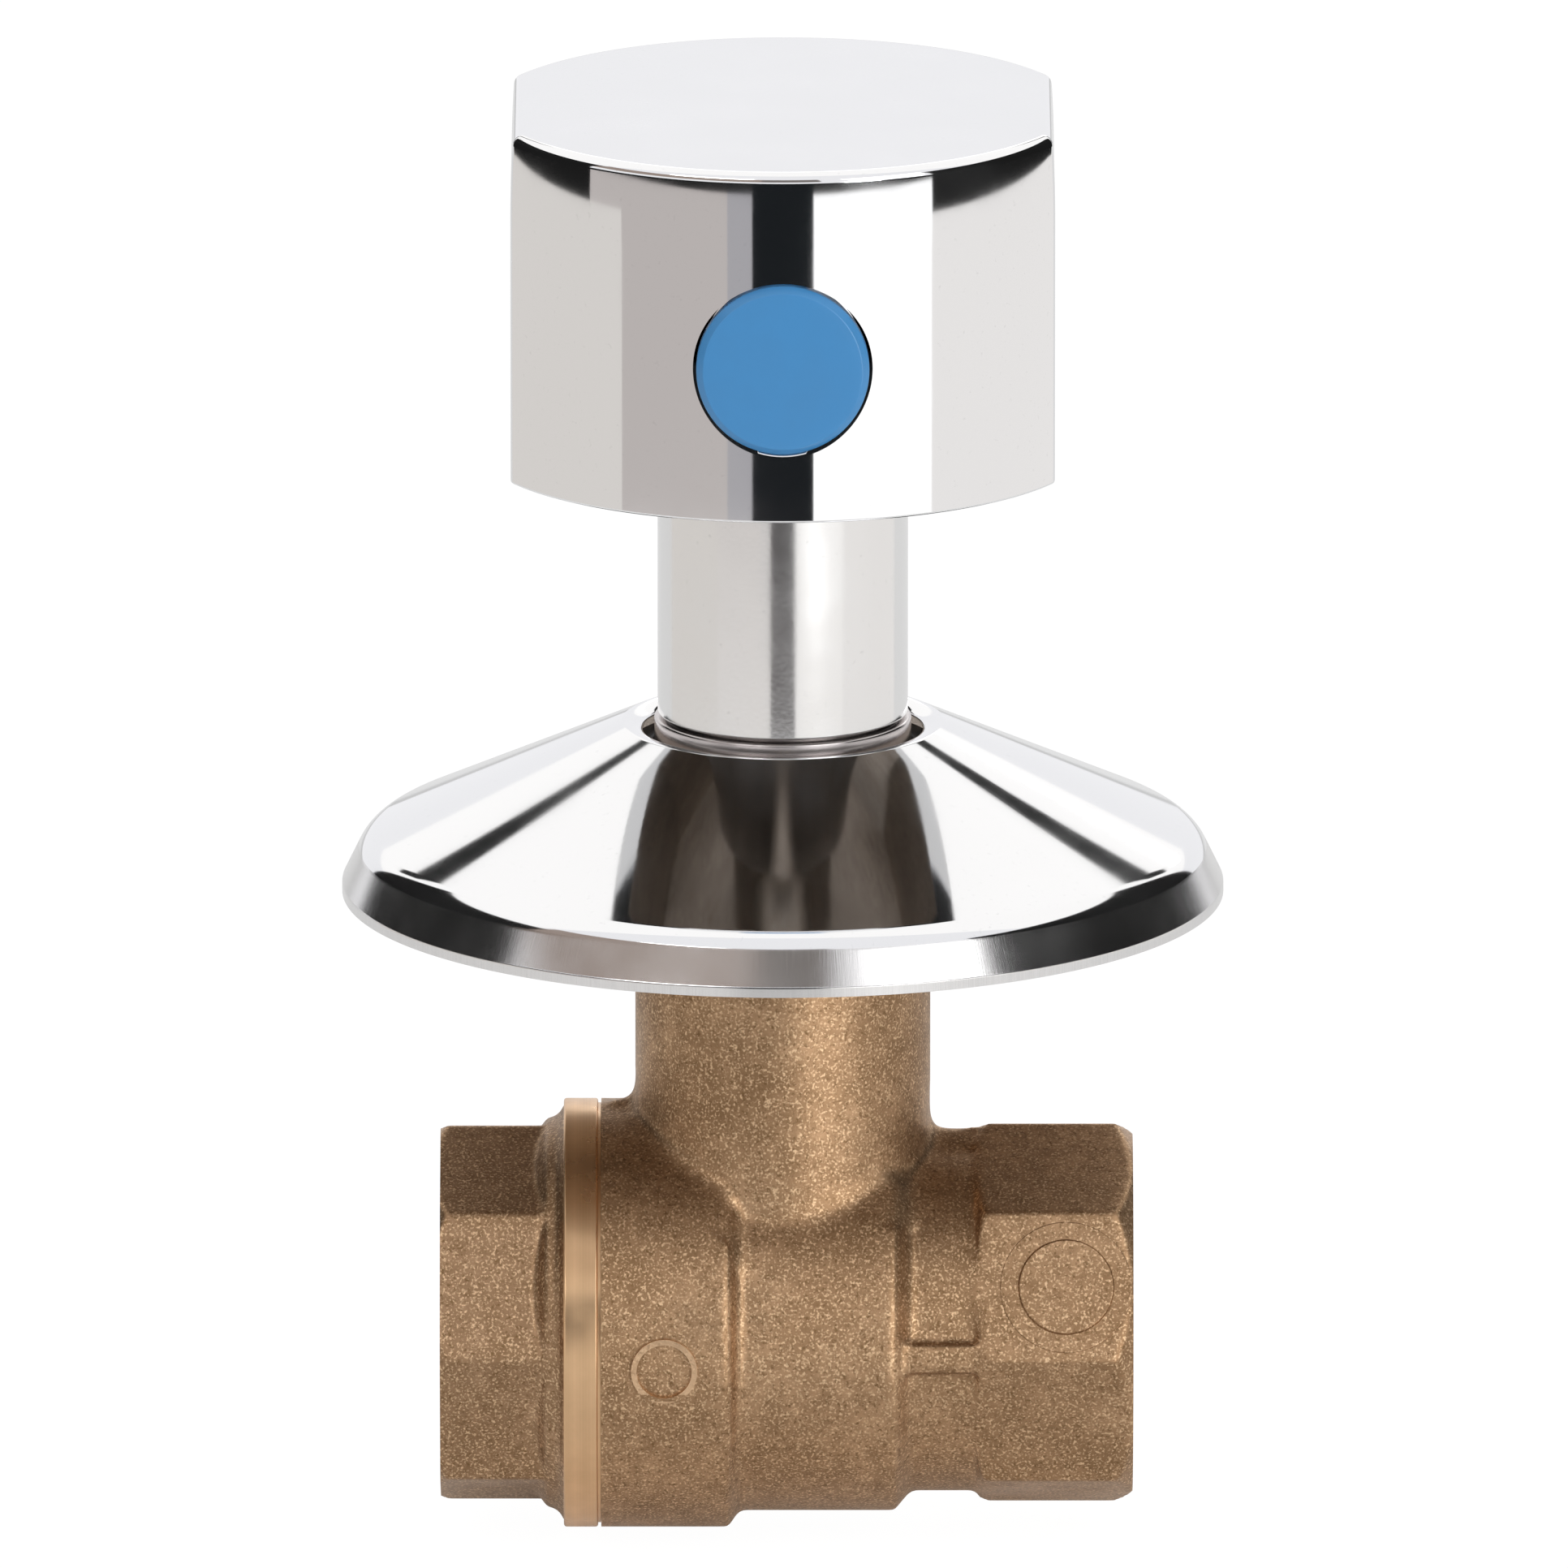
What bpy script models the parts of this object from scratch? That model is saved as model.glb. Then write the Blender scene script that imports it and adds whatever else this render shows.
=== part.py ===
"""Concealed ball-type stop valve, size G3/4, with its wall rosette, cover sleeve and knob.

The pipe runs along X, the stem along Z, and the two lines cross at the origin. The index cap in the
knob faces -Y. All sizes are metres. Run it with blender --background --python part.py, or from
Blender's text editor.
"""

import math

import bmesh
import bpy
from mathutils import Matrix

# Clearances
SEAT_GAP = 0.0003  # between two pieces that seat on each other
RUN_GAP = 0.0003  # around a piece that turns or slides

# Ball and seats
PORT_RADIUS = 0.00975
BALL_WALL = 0.00475  # metal around the port at the ball's middle
BALL_SPACE = 0.0008  # free space around the ball in the body
SEAT_LENGTH = 0.0039
SEAT_WALL = 0.0015  # seat material behind the ball's rim
SEAT_INSET = 0.0005  # how much smaller the seat's outside is than the ball
SLOT_DEPTH = 0.0035  # stem slot in the top of the ball

# Pipe ends
SOCKET_RADIUS = 0.01205  # crest of the female pipe thread
SOCKET_DEPTH = 0.0145
SOCKET_CHAMFER = 0.0009
INLET_WALL = 0.0042  # from the thread's crest to the inlet octagon's flats
OUTLET_WALL = 0.00435
INLET_BACKING = 0.0038  # brass between the seat and the inlet socket
OUTLET_BACKING = 0.0045
INLET_CORNER_CUT = 0.0006  # turned chamfer on the octagon's corners
OUTLET_CORNER_CUT = 0.0015
OUTLET_BACK_CUT = 0.0008  # the same at the octagon's inner end

# Outside of the forged body
BODY_WALL = 0.0027
CAP_THREAD_STEP = 0.0012  # from the ball space to the end cap's thread
BULGE_WALL = 0.0030
BULGE_LENGTH = 0.0121
BULGE_STEP = 0.0007  # length of the slope from the bulge down to the middle
GROOVE_WALL = 0.0019
GROOVE_START = 0.0016  # how far inside the outlet seat's back the groove starts
GROOVE_LENGTH = 0.0068
GROOVE_SLOPE = 0.0009
RIB_HEIGHT = 0.0026
RIB_PROUD = 0.0008
WEB_HALF_WIDTH = 0.0028  # web between the neck and the outlet octagon
WEB_DROP = 0.0002
FLASH_HALF_WIDTH = 0.0006  # parting ridge on top of the bulge
FLASH_PROUD = 0.0004
NECK_WALL = 0.0024

# End cap
COLLAR_OFFSET = 0.0043  # joint line beyond the inlet seat's back
COLLAR_LENGTH = 0.0031
COLLAR_CHAMFER = 0.0003
COLLAR_FILLET = 0.0015
COLLAR_FOOT = 0.0001  # how far the fillet's foot stands outside the octagon's corners
SPIGOT_OVER_SEAT = 0.0008  # how far the seat stands out of the cap's spigot
SEAL_SECTION = 0.00065  # radius of the end cap's sealing ring
SEAL_SPACE = 0.0017  # length of the room for that ring

# Stem and its seals
STEM_RADIUS = 0.0050
TANG_WIDTH = 0.0037
STEM_FLANGE_RADIUS = 0.0070
STEM_FLANGE_HEIGHT = 0.0024
WASHER_THICKNESS = 0.0006
RING_SECTION = 0.00065  # radius of a stem ring's section
RING_OFFSET = 0.0019  # from the washer's shoulder to the lower ring
RING_SPACING = 0.0030
RING_LAND = 0.00145  # bore above the upper ring
PACKING_RADIUS = 0.0075
PACKING_HEIGHT = 0.0025
GLAND_RADIUS = 0.0087
GLAND_HEIGHT = 0.0040
GLAND_SLOT_WIDTH = 0.0022
GLAND_SLOT_DEPTH = 0.0016
STEM_SQUARE = 0.0066  # across the flats of the square on top of the stem
STEM_SQUARE_HEIGHT = 0.0064

# Travel stop
TRAVEL = 90.0  # degrees from open to closed
TRAVEL_SPARE = 2.5  # degrees left at each end of the notch
STOP_RADIUS = 0.0073
STOP_THICKNESS = 0.0018
STOP_LUG_REACH = 0.0022
STOP_LUG_WIDTH = 0.0034
STOP_LUG_INSET = 0.0001  # how much lower the lug is than the ring, above and below

# Bonnet, spindle and sleeve
SLEEVE_RADIUS = 0.01135
SLEEVE_WALL = 0.00095
SLEEVE_OVER_CLIP = 0.0029  # how far the sleeve stands above the circlip's groove
BONNET_RING_STEP = 0.0003  # how much wider the bonnet's ring is than the sleeve
BONNET_THREAD_STEP = 0.00065  # how much narrower its thread is than the sleeve
BONNET_THREAD_LENGTH = 0.0083
BONNET_BORE_SPACE = 0.0006  # around the spindle's socket
BONNET_FLANGE_WALL = 0.0026
BONNET_FLANGE_HEIGHT = 0.0030
BONNET_RING_LENGTH = 0.0097
BONNET_TUBE_LENGTH = 0.0239
BONNET_SEAL_THICKNESS = 0.0008
SPINDLE_RADIUS = 0.0050
SPINDLE_SOCKET_WALL = 0.0024
SPINDLE_SOCKET_ROOF = 0.0020
BUSH_LENGTH = 0.0090
BUSH_FLANGE_HEIGHT = 0.0012
BUSH_FLANGE_INSET = 0.0005  # how far the bush's flange stays inside the bonnet's tube
CIRCLIP_THICKNESS = 0.0010
CIRCLIP_GROOVE_DEPTH = 0.0008
CIRCLIP_WALL = 0.0016
CIRCLIP_OPENING = 50.0  # degrees

# Rosette
ROSETTE_RADIUS = 0.0400
ROSETTE_HEIGHT = 0.0158
ROSETTE_SHEET = 0.0010
ROSETTE_HOLE_SPACE = 0.00105  # around the bonnet's ring
ROSETTE_LIP_WIDTH = 0.0018
ROSETTE_LIP_DROP = 0.0008
ROSETTE_SHOULDER_INSET = 0.0020
ROSETTE_SHOULDER_HEIGHT = 0.0050
ROSETTE_SHOULDER_ROUND = 0.0016  # from the shoulder's corner to where its rounding starts
ROSETTE_RIM_BAND = 0.0009
ROSETTE_STAND_OFF = 0.0091  # from the bonnet's flange up to the rosette's crest
GASKET_HEIGHT = 0.0020
GASKET_WALL = 0.0021

# Knob
KNOB_RADIUS = 0.0275
KNOB_DRAFT = 0.0003  # how much the top is drawn in on each side
KNOB_DRAFT_HEIGHT = 0.0080
KNOB_FLAT_DEPTH = 0.0029  # how far the flats lie inside the knob's round
KNOB_HEIGHT = 0.0323
KNOB_CORNER = 0.0015
KNOB_EDGE = 0.0009
KNOB_WALL = 0.0025
KNOB_OVER_SLEEVE = 0.0054
KNOB_HUB_CLEARANCE = 0.0020  # from the sleeve's top to the hub
INSERT_RADIUS = 0.0063
INSERT_HEIGHT = 0.0180
HUB_WALL = 0.0026
SPLINE_TEETH = 16
SPLINE_DEPTH = 0.0006
SPLINE_LENGTH = 0.0165
INDEX_HEIGHT = 0.0141  # of the cap's centre above the knob's lower edge
INDEX_RADIUS = 0.0078
INDEX_THICKNESS = 0.0020
INDEX_PROUD = 0.0002
INDEX_BEVEL = 0.0005
INDEX_PLUG_RADIUS = 0.0026
INDEX_PLUG_LENGTH = 0.0030
INDEX_BOSS_WALL = 0.0018
INDEX_BOSS_DEPTH = 0.0024  # boss metal behind the cap
SCREW_RADIUS = 0.0025
SCREW_LENGTH = 0.0100
SCREW_CONE = 0.00125
SCREW_SOCKET_DEPTH = 0.0033
SCREW_BOSS_WALL = 0.0019
SCREW_HEX = 0.0025

# Places along the pipe, worked out from the ball outwards
BALL_RADIUS = PORT_RADIUS + BALL_WALL
CUP_RADIUS = BALL_RADIUS + RUN_GAP
SEAT_BORE = PORT_RADIUS + 0.5 * RUN_GAP
SEAT_RADIUS = BALL_RADIUS - SEAT_INSET
SEAT_RIM_X = math.sqrt(CUP_RADIUS**2 - SEAT_BORE**2)
SEAT_BACK_X = SEAT_RIM_X + SEAT_WALL
SEAT_FRONT_X = SEAT_BACK_X - SEAT_LENGTH
POCKET_X = SEAT_BACK_X + SEAT_GAP
POCKET_RADIUS = SEAT_RADIUS + SEAT_GAP
CAVITY_RADIUS = BALL_RADIUS + BALL_SPACE
CAP_THREAD_RADIUS = CAVITY_RADIUS + CAP_THREAD_STEP
JOINT_X = SEAT_BACK_X + COLLAR_OFFSET
BODY_FACE_X = JOINT_X - SEAT_GAP
SPIGOT_END_X = SEAT_FRONT_X + SPIGOT_OVER_SEAT
INLET_X = POCKET_X + INLET_BACKING + SOCKET_DEPTH
OUTLET_X = POCKET_X + OUTLET_BACKING + SOCKET_DEPTH
BULGE_RADIUS = CAP_THREAD_RADIUS + BULGE_WALL
MIDDLE_RADIUS = CAVITY_RADIUS + BODY_WALL
GROOVE_RADIUS = POCKET_RADIUS + GROOVE_WALL
GROOVE_X = SEAT_BACK_X - GROOVE_START
OCTAGON_X = GROOVE_X + GROOVE_LENGTH
INLET_FLAT = SOCKET_RADIUS + INLET_WALL
OUTLET_FLAT = SOCKET_RADIUS + OUTLET_WALL
SEAL_ROOM_RADIUS = CAP_THREAD_RADIUS - SEAT_GAP + 2 * (SEAL_SECTION + SEAT_GAP)

# Places up the stem, worked out from the ball to the knob
STEM_BORE = STEM_RADIUS + RUN_GAP
STEM_FLANGE_Z = BALL_RADIUS + RUN_GAP
WASHER_Z = STEM_FLANGE_Z + STEM_FLANGE_HEIGHT + RUN_GAP
STEM_SHOULDER_Z = WASHER_Z + WASHER_THICKNESS + SEAT_GAP
RING_Z = STEM_SHOULDER_Z + RING_OFFSET
PACKING_FLOOR_Z = RING_Z + RING_SPACING + RING_SECTION + 2 * RUN_GAP + RING_LAND
PACKING_Z = PACKING_FLOOR_Z + SEAT_GAP
GLAND_Z = PACKING_Z + PACKING_HEIGHT + SEAT_GAP
GLAND_TOP_Z = GLAND_Z + GLAND_HEIGHT
NECK_FLOOR_Z = GLAND_TOP_Z + SEAT_GAP
BONNET_Z = NECK_FLOOR_Z + SEAT_GAP
STEM_SQUARE_Z = GLAND_TOP_Z + RUN_GAP
STOP_Z = STEM_SQUARE_Z + SEAT_GAP
SOCKET_Z = STOP_Z + STOP_THICKNESS + SEAT_GAP
STEM_TOP_Z = STEM_SQUARE_Z + STEM_SQUARE_HEIGHT
NECK_TOP_Z = BONNET_Z + BONNET_THREAD_LENGTH
BONNET_SEAL_Z = NECK_TOP_Z + SEAT_GAP
BONNET_FLANGE_Z = BONNET_SEAL_Z + BONNET_SEAL_THICKNESS + SEAT_GAP
BONNET_FLANGE_TOP_Z = BONNET_FLANGE_Z + BONNET_FLANGE_HEIGHT
RING_TOP_Z = BONNET_FLANGE_TOP_Z + BONNET_RING_LENGTH
BONNET_TOP_Z = RING_TOP_Z + BONNET_TUBE_LENGTH
BUSH_TOP_Z = BONNET_TOP_Z + SEAT_GAP + BUSH_FLANGE_HEIGHT
CIRCLIP_Z = BUSH_TOP_Z + RUN_GAP
SLEEVE_Z = RING_TOP_Z + SEAT_GAP
SLEEVE_TOP_Z = CIRCLIP_Z + CIRCLIP_THICKNESS + RUN_GAP + SLEEVE_OVER_CLIP
KNOB_Z = SLEEVE_TOP_Z - KNOB_OVER_SLEEVE
KNOB_TOP_Z = KNOB_Z + KNOB_HEIGHT
HUB_Z = SLEEVE_TOP_Z + KNOB_HUB_CLEARANCE
INDEX_Z = KNOB_Z + INDEX_HEIGHT
CREST_Z = BONNET_FLANGE_TOP_Z + ROSETTE_STAND_OFF

# Radii about the stem
BONNET_THREAD_RADIUS = SLEEVE_RADIUS - BONNET_THREAD_STEP
NECK_BORE = BONNET_THREAD_RADIUS + SEAT_GAP
NECK_RADIUS = NECK_BORE + NECK_WALL
RING_RADIUS = SLEEVE_RADIUS + BONNET_RING_STEP
SLEEVE_BORE = SLEEVE_RADIUS - SLEEVE_WALL
BONNET_TUBE_RADIUS = SLEEVE_BORE - SEAT_GAP
STEM_SQUARE_HALF = STEM_SQUARE / 2
SPINDLE_SOCKET_RADIUS = (STEM_SQUARE_HALF + SEAT_GAP) * math.sqrt(2) + SPINDLE_SOCKET_WALL
BONNET_BORE = max(SPINDLE_SOCKET_RADIUS, STOP_RADIUS) + BONNET_BORE_SPACE
HOLE_RADIUS = RING_RADIUS + ROSETTE_HOLE_SPACE
HUB_RADIUS = INSERT_RADIUS + SEAT_GAP + HUB_WALL
INDEX_ROOM = INDEX_RADIUS + SEAT_GAP
INDEX_FACE_Y = KNOB_RADIUS + INDEX_PROUD
INDEX_FLOOR_Y = INDEX_FACE_Y - INDEX_THICKNESS - SEAT_GAP
INDEX_BOSS_RADIUS = INDEX_ROOM + INDEX_BOSS_WALL
INDEX_BOSS_Y = INDEX_FLOOR_Y - INDEX_BOSS_DEPTH
SCREW_BORE = SCREW_RADIUS + SEAT_GAP
SCREW_BOSS_RADIUS = SCREW_BORE + SCREW_BOSS_WALL
SCREW_TIP_Y = SPINDLE_RADIUS + SEAT_GAP

LARGE = 36  # facets round a body or a sleeve
SMALL = 24  # facets round a ring or a shaft
WIDE = 52  # facets round the rosette
MARGIN = 0.002  # how far a cutter runs past the face it opens

TO_AXIS = {
    "X": Matrix.Rotation(math.radians(90), 4, "Y"),
    "Y": Matrix.Rotation(math.radians(-90), 4, "X"),
    "Z": Matrix.Identity(4),
}


def clear_scene():
    for obj in list(bpy.data.objects):
        bpy.data.objects.remove(obj, do_unlink=True)


def material(name, colour, metallic, roughness):
    made = bpy.data.materials.new(name)
    made.use_nodes = True
    shader = made.node_tree.nodes["Principled BSDF"]
    shader.inputs["Base Color"].default_value = (*colour, 1.0)
    shader.inputs["Metallic"].default_value = metallic
    shader.inputs["Roughness"].default_value = roughness
    return made


def arc(centre, radius, start, end, steps):
    """Points on an arc, with the angles in degrees."""
    points = []
    for i in range(steps + 1):
        angle = math.radians(start + (end - start) * i / steps)
        points.append((centre[0] + radius * math.cos(angle), centre[1] + radius * math.sin(angle)))
    return points


def ring_section(section, ring_radius, height, steps=6):
    """The closed round section of a sealing ring, as (radius, height) points."""
    return arc((ring_radius, height), section, 0, 360, steps)[:-1]


def new_object(name, bm, parent, colour=None, smooth=30):
    mesh = bpy.data.meshes.new(name)
    bm.to_mesh(mesh)
    bm.free()
    obj = bpy.data.objects.new(name, mesh)
    bpy.context.scene.collection.objects.link(obj)
    obj.parent = parent
    if colour:
        mesh.materials.append(colour)
    mesh.shade_smooth()
    mesh.set_sharp_from_angle(angle=math.radians(smooth))
    return obj


def turned(name, profile, parent, colour=None, axis="Z", steps=SMALL, location=(0, 0, 0), phase=0):
    """A solid turned about an axis from a closed profile of (radius, distance along) points.

    phase turns its facets about the axis by a share of one facet.
    """
    bm = bmesh.new()
    start = phase * math.tau / steps
    verts = []
    for radius, along in profile:
        verts.append(bm.verts.new((radius * math.cos(start), radius * math.sin(start), along)))
    edges = [bm.edges.new((a, b)) for a, b in zip(verts, verts[1:] + verts[:1])]
    bmesh.ops.spin(
        bm,
        geom=verts + edges,
        cent=(0, 0, 0),
        axis=(0, 0, 1),
        angle=math.tau,
        steps=steps,
        use_merge=True,
    )
    bmesh.ops.remove_doubles(bm, verts=bm.verts, dist=1e-6)
    bmesh.ops.dissolve_degenerate(bm, edges=bm.edges, dist=1e-7)
    on_axis = [edge for edge in bm.edges if not edge.link_faces]
    bmesh.ops.delete(bm, geom=on_axis, context="EDGES")
    bmesh.ops.recalc_face_normals(bm, faces=bm.faces)
    bmesh.ops.transform(bm, matrix=TO_AXIS[axis], verts=bm.verts)
    obj = new_object(name, bm, parent, colour)
    obj.location = location
    return obj


def raised(name, outline, bottom, top, parent, colour=None, axis="Z"):
    """A solid raised from a closed outline of (x, y) points, from one height to another."""
    bm = bmesh.new()
    face = bm.faces.new([bm.verts.new((x, y, bottom)) for x, y in outline])
    lifted = bmesh.ops.extrude_face_region(bm, geom=[face])["geom"]
    upper = [item for item in lifted if isinstance(item, bmesh.types.BMVert)]
    bmesh.ops.translate(bm, vec=(0, 0, top - bottom), verts=upper)
    bmesh.ops.recalc_face_normals(bm, faces=bm.faces)
    bmesh.ops.transform(bm, matrix=TO_AXIS[axis], verts=bm.verts)
    return new_object(name, bm, parent, colour)


def lofted(name, sections, parent, colour=None):
    """A solid through outlines of equally many points, as (outline, height) from the bottom up."""
    bm = bmesh.new()
    rings = [[bm.verts.new((x, y, height)) for x, y in outline] for outline, height in sections]
    bm.faces.new(rings[0][::-1])
    bm.faces.new(rings[-1])
    for low, high in zip(rings, rings[1:]):
        for i in range(len(low)):
            j = (i + 1) % len(low)
            bm.faces.new((low[i], low[j], high[j], high[i]))
    bmesh.ops.recalc_face_normals(bm, faces=bm.faces)
    return new_object(name, bm, parent, colour)


def tube(inner, outer, low, high):
    """The profile of a plain tube."""
    return [(outer, high), (outer, low), (inner, low), (inner, high)]


def rod(radius, low, high):
    """The profile of a plain rod."""
    return tube(0, radius, low, high)


def square(half):
    return [(half, half), (-half, half), (-half, -half), (half, -half)]


def block_outline(low_x, high_x, half_y):
    return [(low_x, -half_y), (high_x, -half_y), (high_x, half_y), (low_x, half_y)]


def polygon(radius, sides, turn=0.0):
    return arc((0, 0), radius, turn, turn + 360, sides)[:-1]


def shape_with(target, tool, operation="DIFFERENCE", solver="EXACT"):
    """Cuts target with tool, or joins tool to it, and keeps tool as a hidden helper."""
    modifier = target.modifiers.new(tool.name, "BOOLEAN")
    modifier.object = tool
    modifier.operation = operation
    modifier.solver = solver
    tool.hide_render = True
    tool.display_type = "WIRE"


def empty(name, parent=None):
    made = bpy.data.objects.new(name, None)
    bpy.context.scene.collection.objects.link(made)
    made.parent = parent
    return made


def across_corners(flat):
    """The corner radius of an octagon whose flats lie at this radius."""
    return flat / math.cos(math.radians(22.5))


def octagon_end(name, flat, start, end, cuts, parent):
    """An octagon bar along X that stands on a corner, with its corners turned down at both ends."""
    corner = across_corners(flat)
    bar = raised(name, polygon(corner, 8), start, end, parent, axis="X")
    outward = math.copysign(1, end - start)
    inner_cut, outer_cut = cuts
    blank = [
        (0, end + MARGIN * outward),
        (corner - outer_cut, end + MARGIN * outward),
        (corner - outer_cut, end),
        (corner + MARGIN, end - (outer_cut + MARGIN) * outward),
        (corner + MARGIN, start + (inner_cut + MARGIN) * outward),
        (corner - inner_cut, start),
        (corner - inner_cut, start - MARGIN * outward),
        (0, start - MARGIN * outward),
    ]
    turned_down = turned(name + "_blank", blank, parent, axis="X", steps=LARGE, phase=0.5)
    shape_with(bar, turned_down, "INTERSECT")
    return bar


def socket_mouth(end, direction):
    """The part of a cutter's profile that bores a pipe socket, from its bottom out past its mouth."""
    return [
        (SOCKET_RADIUS, end - SOCKET_DEPTH * direction),
        (SOCKET_RADIUS, end - SOCKET_CHAMFER * direction),
        (SOCKET_RADIUS + SOCKET_CHAMFER + MARGIN, end + MARGIN * direction),
        (0, end + MARGIN * direction),
    ]


def build_valve_body(parent, brass):
    """The forging: bulge, middle, groove, outlet octagon and neck, bored from three sides."""
    bulge_end = BULGE_LENGTH - BODY_FACE_X
    edge = BULGE_STEP
    outside = [
        (0, -BODY_FACE_X),
        (BULGE_RADIUS - edge, -BODY_FACE_X),
        (BULGE_RADIUS, edge - BODY_FACE_X),
        (BULGE_RADIUS, bulge_end - edge),
        (BULGE_RADIUS - edge, bulge_end),
        (MIDDLE_RADIUS, bulge_end + edge),
        (MIDDLE_RADIUS, GROOVE_X - GROOVE_SLOPE),
        (MIDDLE_RADIUS - GROOVE_SLOPE, GROOVE_X),
        (GROOVE_RADIUS, GROOVE_X + GROOVE_SLOPE),
        (GROOVE_RADIUS, OCTAGON_X + MARGIN),
        (0, OCTAGON_X + MARGIN),
    ]
    body = turned("valve_body", outside, parent, brass, axis="X", steps=LARGE)
    cuts = (OUTLET_BACK_CUT, OUTLET_CORNER_CUT)
    octagon = octagon_end("outlet_octagon", OUTLET_FLAT, OCTAGON_X, OUTLET_X, cuts, parent)
    shape_with(body, octagon, "UNION")
    neck = turned("neck", rod(NECK_RADIUS, 0, NECK_TOP_Z), parent, steps=LARGE, phase=0.5)
    shape_with(body, neck, "UNION")
    web_top = across_corners(OUTLET_FLAT) - WEB_DROP
    web = block_outline(NECK_RADIUS - MARGIN, OCTAGON_X + MARGIN, WEB_HALF_WIDTH)
    shape_with(body, raised("neck_web", web, MIDDLE_RADIUS / 2, web_top, parent), "UNION")
    ridge = block_outline(BULGE_STEP - BODY_FACE_X, MARGIN - NECK_RADIUS, FLASH_HALF_WIDTH)
    flash = raised("flash", ridge, BULGE_RADIUS - MARGIN, BULGE_RADIUS + FLASH_PROUD, parent)
    shape_with(body, flash, "UNION")
    rib = [
        (GROOVE_X - GROOVE_SLOPE, -MIDDLE_RADIUS + MARGIN),
        (GROOVE_X - GROOVE_SLOPE, -GROOVE_RADIUS - RIB_PROUD),
        (OCTAGON_X + MARGIN, -GROOVE_RADIUS - RIB_PROUD),
        (OCTAGON_X + MARGIN, -MIDDLE_RADIUS + MARGIN),
    ]
    shape_with(body, raised("groove_rib", rib, -RIB_HEIGHT / 2, RIB_HEIGHT / 2, parent), "UNION")

    # One turned cutter along the pipe: cap thread, ball space, seat pocket, port and socket
    seal_end = SEAL_SPACE - BODY_FACE_X
    thread_end = SEAT_GAP - SPIGOT_END_X
    along_pipe = [
        (0, -BODY_FACE_X - MARGIN),
        (SEAL_ROOM_RADIUS, -BODY_FACE_X - MARGIN),
        (SEAL_ROOM_RADIUS, seal_end),
        (CAP_THREAD_RADIUS, seal_end),
        (CAP_THREAD_RADIUS, thread_end),
        (CAVITY_RADIUS, thread_end),
        (CAVITY_RADIUS, SEAT_FRONT_X + SEAT_GAP),
        (POCKET_RADIUS, SEAT_FRONT_X + SEAT_GAP),
        (POCKET_RADIUS, POCKET_X),
        (SEAT_BORE, POCKET_X),
        (SEAT_BORE, OUTLET_X - SOCKET_DEPTH),
        *socket_mouth(OUTLET_X, 1),
    ]
    pipe_cutter = turned("pipe_cutter", along_pipe, parent, axis="X", steps=LARGE)

    # One turned cutter down the neck: bonnet thread, gland thread, packing, rings and stem flange
    down_neck = [
        (0, NECK_TOP_Z + MARGIN),
        (NECK_BORE, NECK_TOP_Z + MARGIN),
        (NECK_BORE, NECK_FLOOR_Z),
        (GLAND_RADIUS + SEAT_GAP, NECK_FLOOR_Z),
        (GLAND_RADIUS + SEAT_GAP, GLAND_Z - SEAT_GAP),
        (PACKING_RADIUS + SEAT_GAP, GLAND_Z - SEAT_GAP),
        (PACKING_RADIUS + SEAT_GAP, PACKING_FLOOR_Z),
        (STEM_BORE, PACKING_FLOOR_Z),
        (STEM_BORE, STEM_SHOULDER_Z),
        (STEM_FLANGE_RADIUS + RUN_GAP, STEM_SHOULDER_Z),
        (STEM_FLANGE_RADIUS + RUN_GAP, BALL_RADIUS / 2),
        (0, BALL_RADIUS / 2),
    ]
    neck_cutter = turned("neck_cutter", down_neck, parent, steps=SMALL)

    # The exact solver leaves open edges where these two cutters cross
    shape_with(body, neck_cutter, solver="MANIFOLD")
    shape_with(body, pipe_cutter, solver="MANIFOLD")


def build_end_cap(parent, brass):
    """The screwed inlet end: octagon, turned collar, and a spigot that holds the inlet seat."""
    collar_out = -JOINT_X - COLLAR_LENGTH
    foot = across_corners(INLET_FLAT) + COLLAR_FOOT
    fillet = min(COLLAR_FILLET, BULGE_RADIUS - COLLAR_CHAMFER - foot)
    root = collar_out - 2 * fillet
    outside = [
        (0, -SPIGOT_END_X),
        (CAP_THREAD_RADIUS - SEAT_GAP, -SPIGOT_END_X),
        (CAP_THREAD_RADIUS - SEAT_GAP, -JOINT_X),
        (BULGE_RADIUS, -JOINT_X),
        (BULGE_RADIUS, collar_out + COLLAR_CHAMFER),
        (BULGE_RADIUS - COLLAR_CHAMFER, collar_out),
        *arc((foot + fillet, collar_out - fillet), fillet, 90, 180, 2),
        (INLET_FLAT - COLLAR_CHAMFER, root),
        (0, root),
    ]
    cap = turned("end_cap", outside, parent, brass, axis="X", steps=LARGE, phase=0.5)
    octagon_x = collar_out + COLLAR_LENGTH / 2
    cuts = (INLET_CORNER_CUT, INLET_CORNER_CUT)
    octagon = octagon_end("inlet_octagon", INLET_FLAT, octagon_x, -INLET_X, cuts, parent)
    shape_with(cap, octagon, "UNION")
    through = [
        (0, -SPIGOT_END_X + MARGIN),
        (POCKET_RADIUS, -SPIGOT_END_X + MARGIN),
        (POCKET_RADIUS, -POCKET_X),
        (SEAT_BORE, -POCKET_X),
        (SEAT_BORE, SOCKET_DEPTH - INLET_X),
        *socket_mouth(-INLET_X, -1),
    ]
    shape_with(cap, turned("inlet_cutter", through, parent, axis="X", steps=LARGE))


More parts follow.
